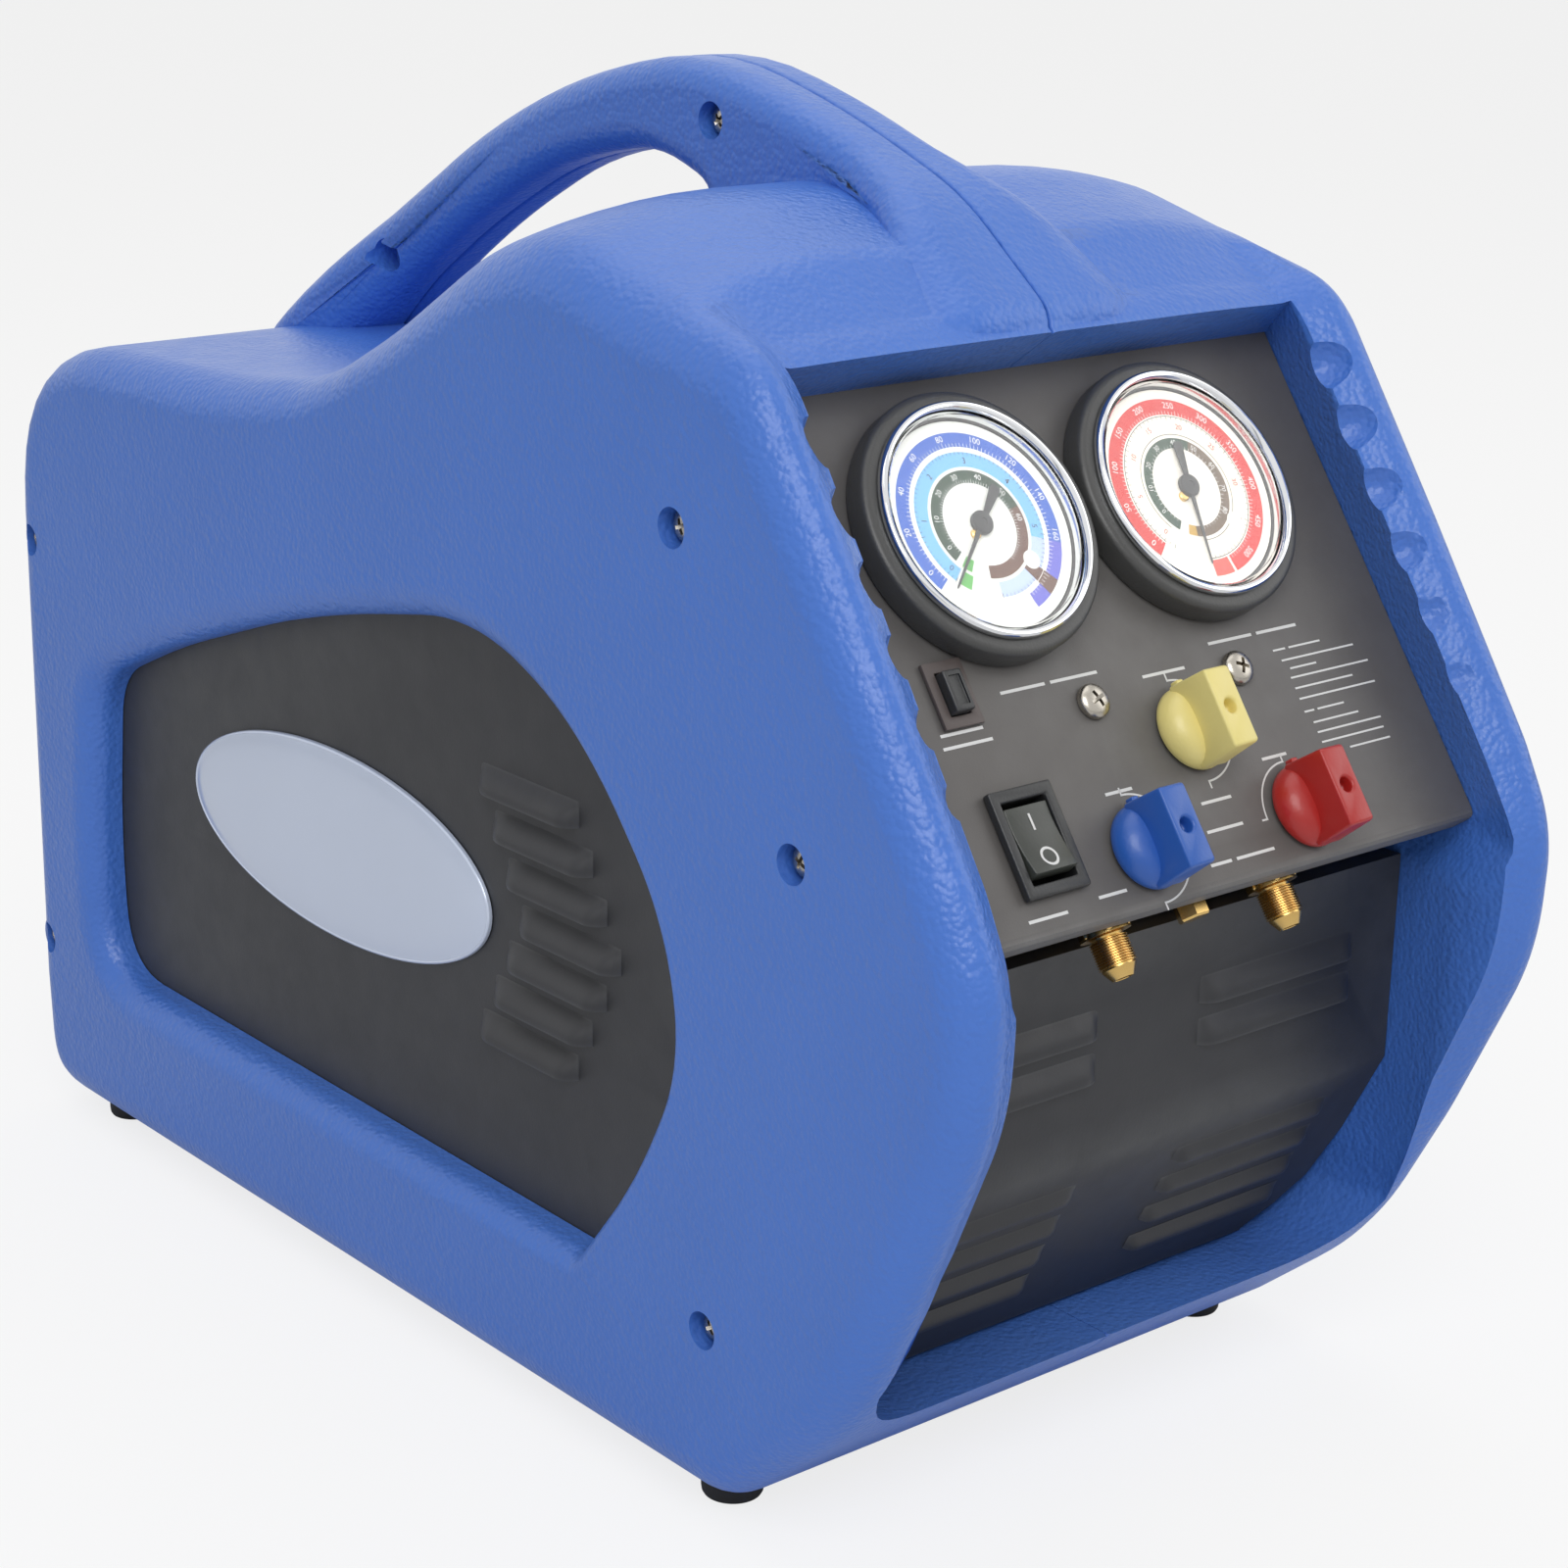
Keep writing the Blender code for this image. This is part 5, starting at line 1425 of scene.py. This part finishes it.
def build_screws():
    turns = iter((20, 65, 110, 155, 30, 75, 5, 50, 140, 95, 60, 15, 35))
    for number, (x, u) in enumerate(PANEL_SCREWS, 1):
        screw = turned(cross_screw(5.0, 3.2, 1.6, 18.0), next(turns))
        settle(screw, "panel_screw_%d_head" % number, zinc_finish(), ["panel_screw_%d" % number],
               panel_place(x, u, GAP))
    spots = []
    for side, sign in (("left", -1), ("right", 1)):
        for number, (y, z) in enumerate(SHELL_SCREWS, 1):
            at = (sign * (HALF_WIDTH - POCKET_FLOOR + GAP), y, z)
            spots.append(("%s_shell_screw_%d" % (side, number), at, sign, 16.0))
    spots.append(("handle_screw", (POCKET_FLOOR - GRIP_HALF - GAP, *HANDLE_SCREW), -1, 18.0))
    for name, at, sign, length in spots:
        place = Matrix.Translation(at) @ Matrix.Rotation(sign * math.pi / 2, 4, "Y")
        screw = turned(cross_screw(4.4, 2.8, 2.2, length), next(turns))
        settle(screw, name + "_head", zinc_finish(), [name], place)


def build_ports():
    """Turned flare ports, each with its hexagon and thread."""
    profile = [(2.4, -99.0), (4.9, -99.0), (4.9, -105.5), (7.2, -105.5), (7.2, -110.0), (4.6, -110.3),
               (4.4, -110.9)]
    for k in range(11):
        low = -111.3 - 0.7 * k
        profile += [(5.45, low), (5.45, low - 0.12), (4.8, low - 0.36), (4.8, low - 0.48)]
    profile += [(4.9, -119.2), (4.7, -119.5), (3.1, -122.2), (2.5, -122.2), (2.4, -122.0)]
    flats = [(4.0, -109.8), (7.0, -109.8), (7.6, -109.3), (7.6, -105.8), (7.0, -105.3), (4.0, -105.3)]
    for name, x in PORTS.items():
        nut = bevel(lathe(flats, 6, "Y"), 0.2, 2, 20.0)
        settle(join(lathe(profile, 72, "Y"), nut), name + "_fitting", brass_finish(), [name],
               panel_place(x, 0.0, PORT_DEPTH), 25.0)


def build_feet():
    top = BASE - GAP
    low = GROUND
    profile = [
        (0, low + 1.2), (2.8, low + 1.2), (3.0, low + 1.0), (3.0, low + 0.2), (3.3, low), (FOOT_R - 1.4, low),
        (FOOT_R - 0.6, low + 0.3), (FOOT_R - 0.2, low + 1.0), (FOOT_R, low + 2.4), (FOOT_R, top - 0.4),
        (FOOT_R - 0.4, top), (0, top),
    ]
    for end, y in zip(("front", "rear"), FOOT_Y):
        for side, x in (("left", -FOOT_X), ("right", FOOT_X)):
            name = "%s_%s_foot" % (end, side)
            settle(lathe(profile, 64, at=(x, y, 0)), name + "_rubber", rubber_finish(), [name])


# Rear and inside

def dress_rear():
    dress("rear_grille", sheet_finish(), 0.35)
    dress("power_inlet", black_moulding(), 0.4)


def dress_inside():
    """Finishes of the compressor, motor, fan, condenser, valves and lines."""
    dress("base_tray", sheet_finish(), 0.5)
    dress("compressor_crankcase", cast_finish(), 1.0)
    dress("left_cylinder_head", cast_finish(), 0.6)
    dress("right_cylinder_head", cast_finish(), 0.6)
    dress("drive_motor", grey_paint(), 0.8)
    dress("cooling_fan", black_moulding(), 0.4)
    dress("condenser_coil", cast_finish(), 0.4)
    for name in ("suction_tube", "discharge_tube", "liquid_tube"):
        dress(name, copper_finish())
    for name in ("yellow_valve_stem", "blue_valve_stem", "red_valve_stem"):
        dress(name, brass_finish(), 0.2)


# Stage

FLOOR_HALF = 40.0
FLOOR_GLOW = 0.80
WORLD_LIGHT = 0.34
AIM = Vector((0.0, 0.0, 0.15))
# Soft lamps: name, place and width in metres, power in watts
LAMPS = (
    ("key_light", (-1.3, -1.5, 1.9), 1.5, 30.0),
    ("fill_light", (1.6, -1.1, 1.2), 1.5, 8.0),
    ("top_light", (0.1, 0.4, 2.2), 2.0, 12.0),
)


def floor_material():
    """Pale floor that stays near white to the camera and keeps the shadow."""
    material, tree, shader = new_material("studio_floor")
    shader.inputs["Base Color"].default_value = (*colours().floor, 1.0)
    shader.inputs["Roughness"].default_value = 0.9
    glow = node(tree, "ShaderNodeEmission", Strength=1.0)
    glow.inputs["Color"].default_value = (1.0, 1.0, 1.0, 1.0)
    path = node(tree, "ShaderNodeLightPath")
    share = math_node(tree, "MULTIPLY", path.outputs["Is Camera Ray"], FLOOR_GLOW)
    mix_shaders(tree, share, shader.outputs[0], glow.outputs[0], "Material Output")
    return material


def studio_world():
    """White to the camera, to mirrors and through glass, softer as light."""
    world = bpy.data.worlds.new("studio")
    bpy.context.scene.world = world
    world.use_nodes = True
    tree = world.node_tree
    soft = tree.nodes["Background"]
    seen = tree.nodes.new("ShaderNodeBackground")
    for background, strength in ((soft, WORLD_LIGHT), (seen, 1.0)):
        background.inputs["Color"].default_value = (1.0, 1.0, 1.0, 1.0)
        background.inputs["Strength"].default_value = strength
    rays = node(tree, "ShaderNodeLightPath").outputs
    share = math_node(tree, "MAXIMUM", rays["Is Camera Ray"], rays["Is Transmission Ray"])
    share = math_node(tree, "MAXIMUM", share, rays["Is Glossy Ray"])
    mix_shaders(tree, share, soft.outputs[0], seen.outputs[0], "World Output")


def softbox(name, at, size, power):
    lamp = bpy.data.lights.new(name, "AREA")
    lamp.shape = "SQUARE"
    lamp.size = size
    lamp.energy = power
    thing = new_object(name, lamp)
    thing.location = at
    thing.rotation_euler = (AIM - Vector(at)).to_track_quat("-Z", "Y").to_euler()


def build_stage():
    bm = bmesh.new()
    bmesh.ops.create_grid(bm, x_segments=1, y_segments=1, size=FLOOR_HALF)
    floor = bare_object(bm, "studio_floor")
    floor.data.materials.append(floor_material())
    studio_world()
    for lamp in LAMPS:
        softbox(*lamp)
    lens = bpy.data.cameras.new("photo_camera")
    lens.lens = CAMERA_LENS
    lens.sensor_width = SENSOR
    camera = new_object("photo_camera", lens)
    camera.location = CAMERA_AT
    camera.rotation_euler = CAMERA_TURN
    bpy.context.scene.camera = camera
    bpy.context.scene.view_settings.view_transform = "Standard"


# Operators

class MACHINE_OT_shells(bpy.types.Operator):
    """Both moulded shells with the handle"""
    bl_idname = "machine.shells"
    bl_label = "Shells"

    def execute(self, context):
        build_shells()
        return {"FINISHED"}


class MACHINE_OT_side_panels(bpy.types.Operator):
    """The louvred side sheets and their bare oval plates"""
    bl_idname = "machine.side_panels"
    bl_label = "Side panels"

    def execute(self, context):
        build_side_panels()
        build_badges()
        return {"FINISHED"}


class MACHINE_OT_lower_panel(bpy.types.Operator):
    """The louvred sheet under the control panel"""
    bl_idname = "machine.lower_panel"
    bl_label = "Lower front panel"

    def execute(self, context):
        build_lower_panel()
        return {"FINISHED"}


class MACHINE_OT_control_panel(bpy.types.Operator):
    """The tilted sheet's finish and its printed marks"""
    bl_idname = "machine.control_panel"
    bl_label = "Control panel"

    def execute(self, context):
        dress("control_panel", panel_finish(), 0.5)
        panel_print()
        return {"FINISHED"}


class MACHINE_OT_gauges(bpy.types.Operator):
    """Both pressure gauges with dial, pointer, ring and glass"""
    bl_idname = "machine.gauges"
    bl_label = "Gauges"

    def execute(self, context):
        build_gauge("suction", -GAUGE_X)
        build_gauge("discharge", GAUGE_X)
        return {"FINISHED"}


class MACHINE_OT_knobs(bpy.types.Operator):
    """The three valve knobs"""
    bl_idname = "machine.knobs"
    bl_label = "Valve knobs"

    def execute(self, context):
        for colour, (x, u) in KNOBS.items():
            valve_knob(colour, x, u)
        return {"FINISHED"}


class MACHINE_OT_switches(bpy.types.Operator):
    """The power rocker switch and the circuit breaker"""
    bl_idname = "machine.switches"
    bl_label = "Switch and breaker"

    def execute(self, context):
        rocker_switch()
        breaker()
        return {"FINISHED"}


class MACHINE_OT_ports(bpy.types.Operator):
    """The brass ports and the valve block"""
    bl_idname = "machine.ports"
    bl_label = "Ports"

    def execute(self, context):
        build_ports()
        dress("valve_manifold", brass_finish(), 0.25)
        return {"FINISHED"}


class MACHINE_OT_screws(bpy.types.Operator):
    """Cross-head screws of the panel, shells and handle"""
    bl_idname = "machine.screws"
    bl_label = "Screws"

    def execute(self, context):
        build_screws()
        return {"FINISHED"}


class MACHINE_OT_feet(bpy.types.Operator):
    """Four rubber feet"""
    bl_idname = "machine.feet"
    bl_label = "Feet"

    def execute(self, context):
        build_feet()
        return {"FINISHED"}


class MACHINE_OT_rear(bpy.types.Operator):
    """The rear air outlet and the power inlet"""
    bl_idname = "machine.rear"
    bl_label = "Rear"

    def execute(self, context):
        dress_rear()
        return {"FINISHED"}


class MACHINE_OT_inside(bpy.types.Operator):
    """The compressor, motor, fan, condenser and copper lines"""
    bl_idname = "machine.inside"
    bl_label = "Inside"

    def execute(self, context):
        dress_inside()
        return {"FINISHED"}


class MACHINE_OT_stage(bpy.types.Operator):
    """Floor, soft light and the camera at the photograph's angle"""
    bl_idname = "machine.stage"
    bl_label = "Stage"

    def execute(self, context):
        build_stage()
        return {"FINISHED"}


OPERATORS = (
    MACHINE_OT_shells, MACHINE_OT_side_panels, MACHINE_OT_lower_panel, MACHINE_OT_control_panel,
    MACHINE_OT_gauges, MACHINE_OT_knobs, MACHINE_OT_switches, MACHINE_OT_ports, MACHINE_OT_screws,
    MACHINE_OT_feet, MACHINE_OT_rear, MACHINE_OT_inside, MACHINE_OT_stage,
)


class MACHINE_PT_looks(bpy.types.Panel):
    """Lists the machine's pieces, colours and sizes"""
    bl_idname = "MACHINE_PT_looks"
    bl_label = "Recovery Machine"
    bl_space_type = "VIEW_3D"
    bl_region_type = "UI"
    bl_category = "Recovery Machine"

    def draw(self, context):
        layout = self.layout
        for group in (context.scene.machine_colours, context.scene.machine_sizes):
            for name in group.__annotations__:
                layout.prop(group, name)
        for operator in OPERATORS:
            layout.operator(operator.bl_idname)


CLASSES = (MachineColours, MachineSizes, *OPERATORS, MACHINE_PT_looks)


def register():
    for each in CLASSES:
        bpy.utils.register_class(each)
    bpy.types.Scene.machine_colours = PointerProperty(type=MachineColours)
    bpy.types.Scene.machine_sizes = PointerProperty(type=MachineSizes)


def unregister():
    del bpy.types.Scene.machine_sizes
    del bpy.types.Scene.machine_colours
    for each in reversed(CLASSES):
        bpy.utils.unregister_class(each)


def main():
    register()
    bpy.ops.machine.shells()
    bpy.ops.machine.side_panels()
    bpy.ops.machine.lower_panel()
    bpy.ops.machine.control_panel()
    bpy.ops.machine.gauges()
    bpy.ops.machine.knobs()
    bpy.ops.machine.switches()
    bpy.ops.machine.ports()
    bpy.ops.machine.screws()
    bpy.ops.machine.feet()
    bpy.ops.machine.rear()
    bpy.ops.machine.inside()
    bpy.ops.machine.stage()


if __name__ == "__main__":
    main()
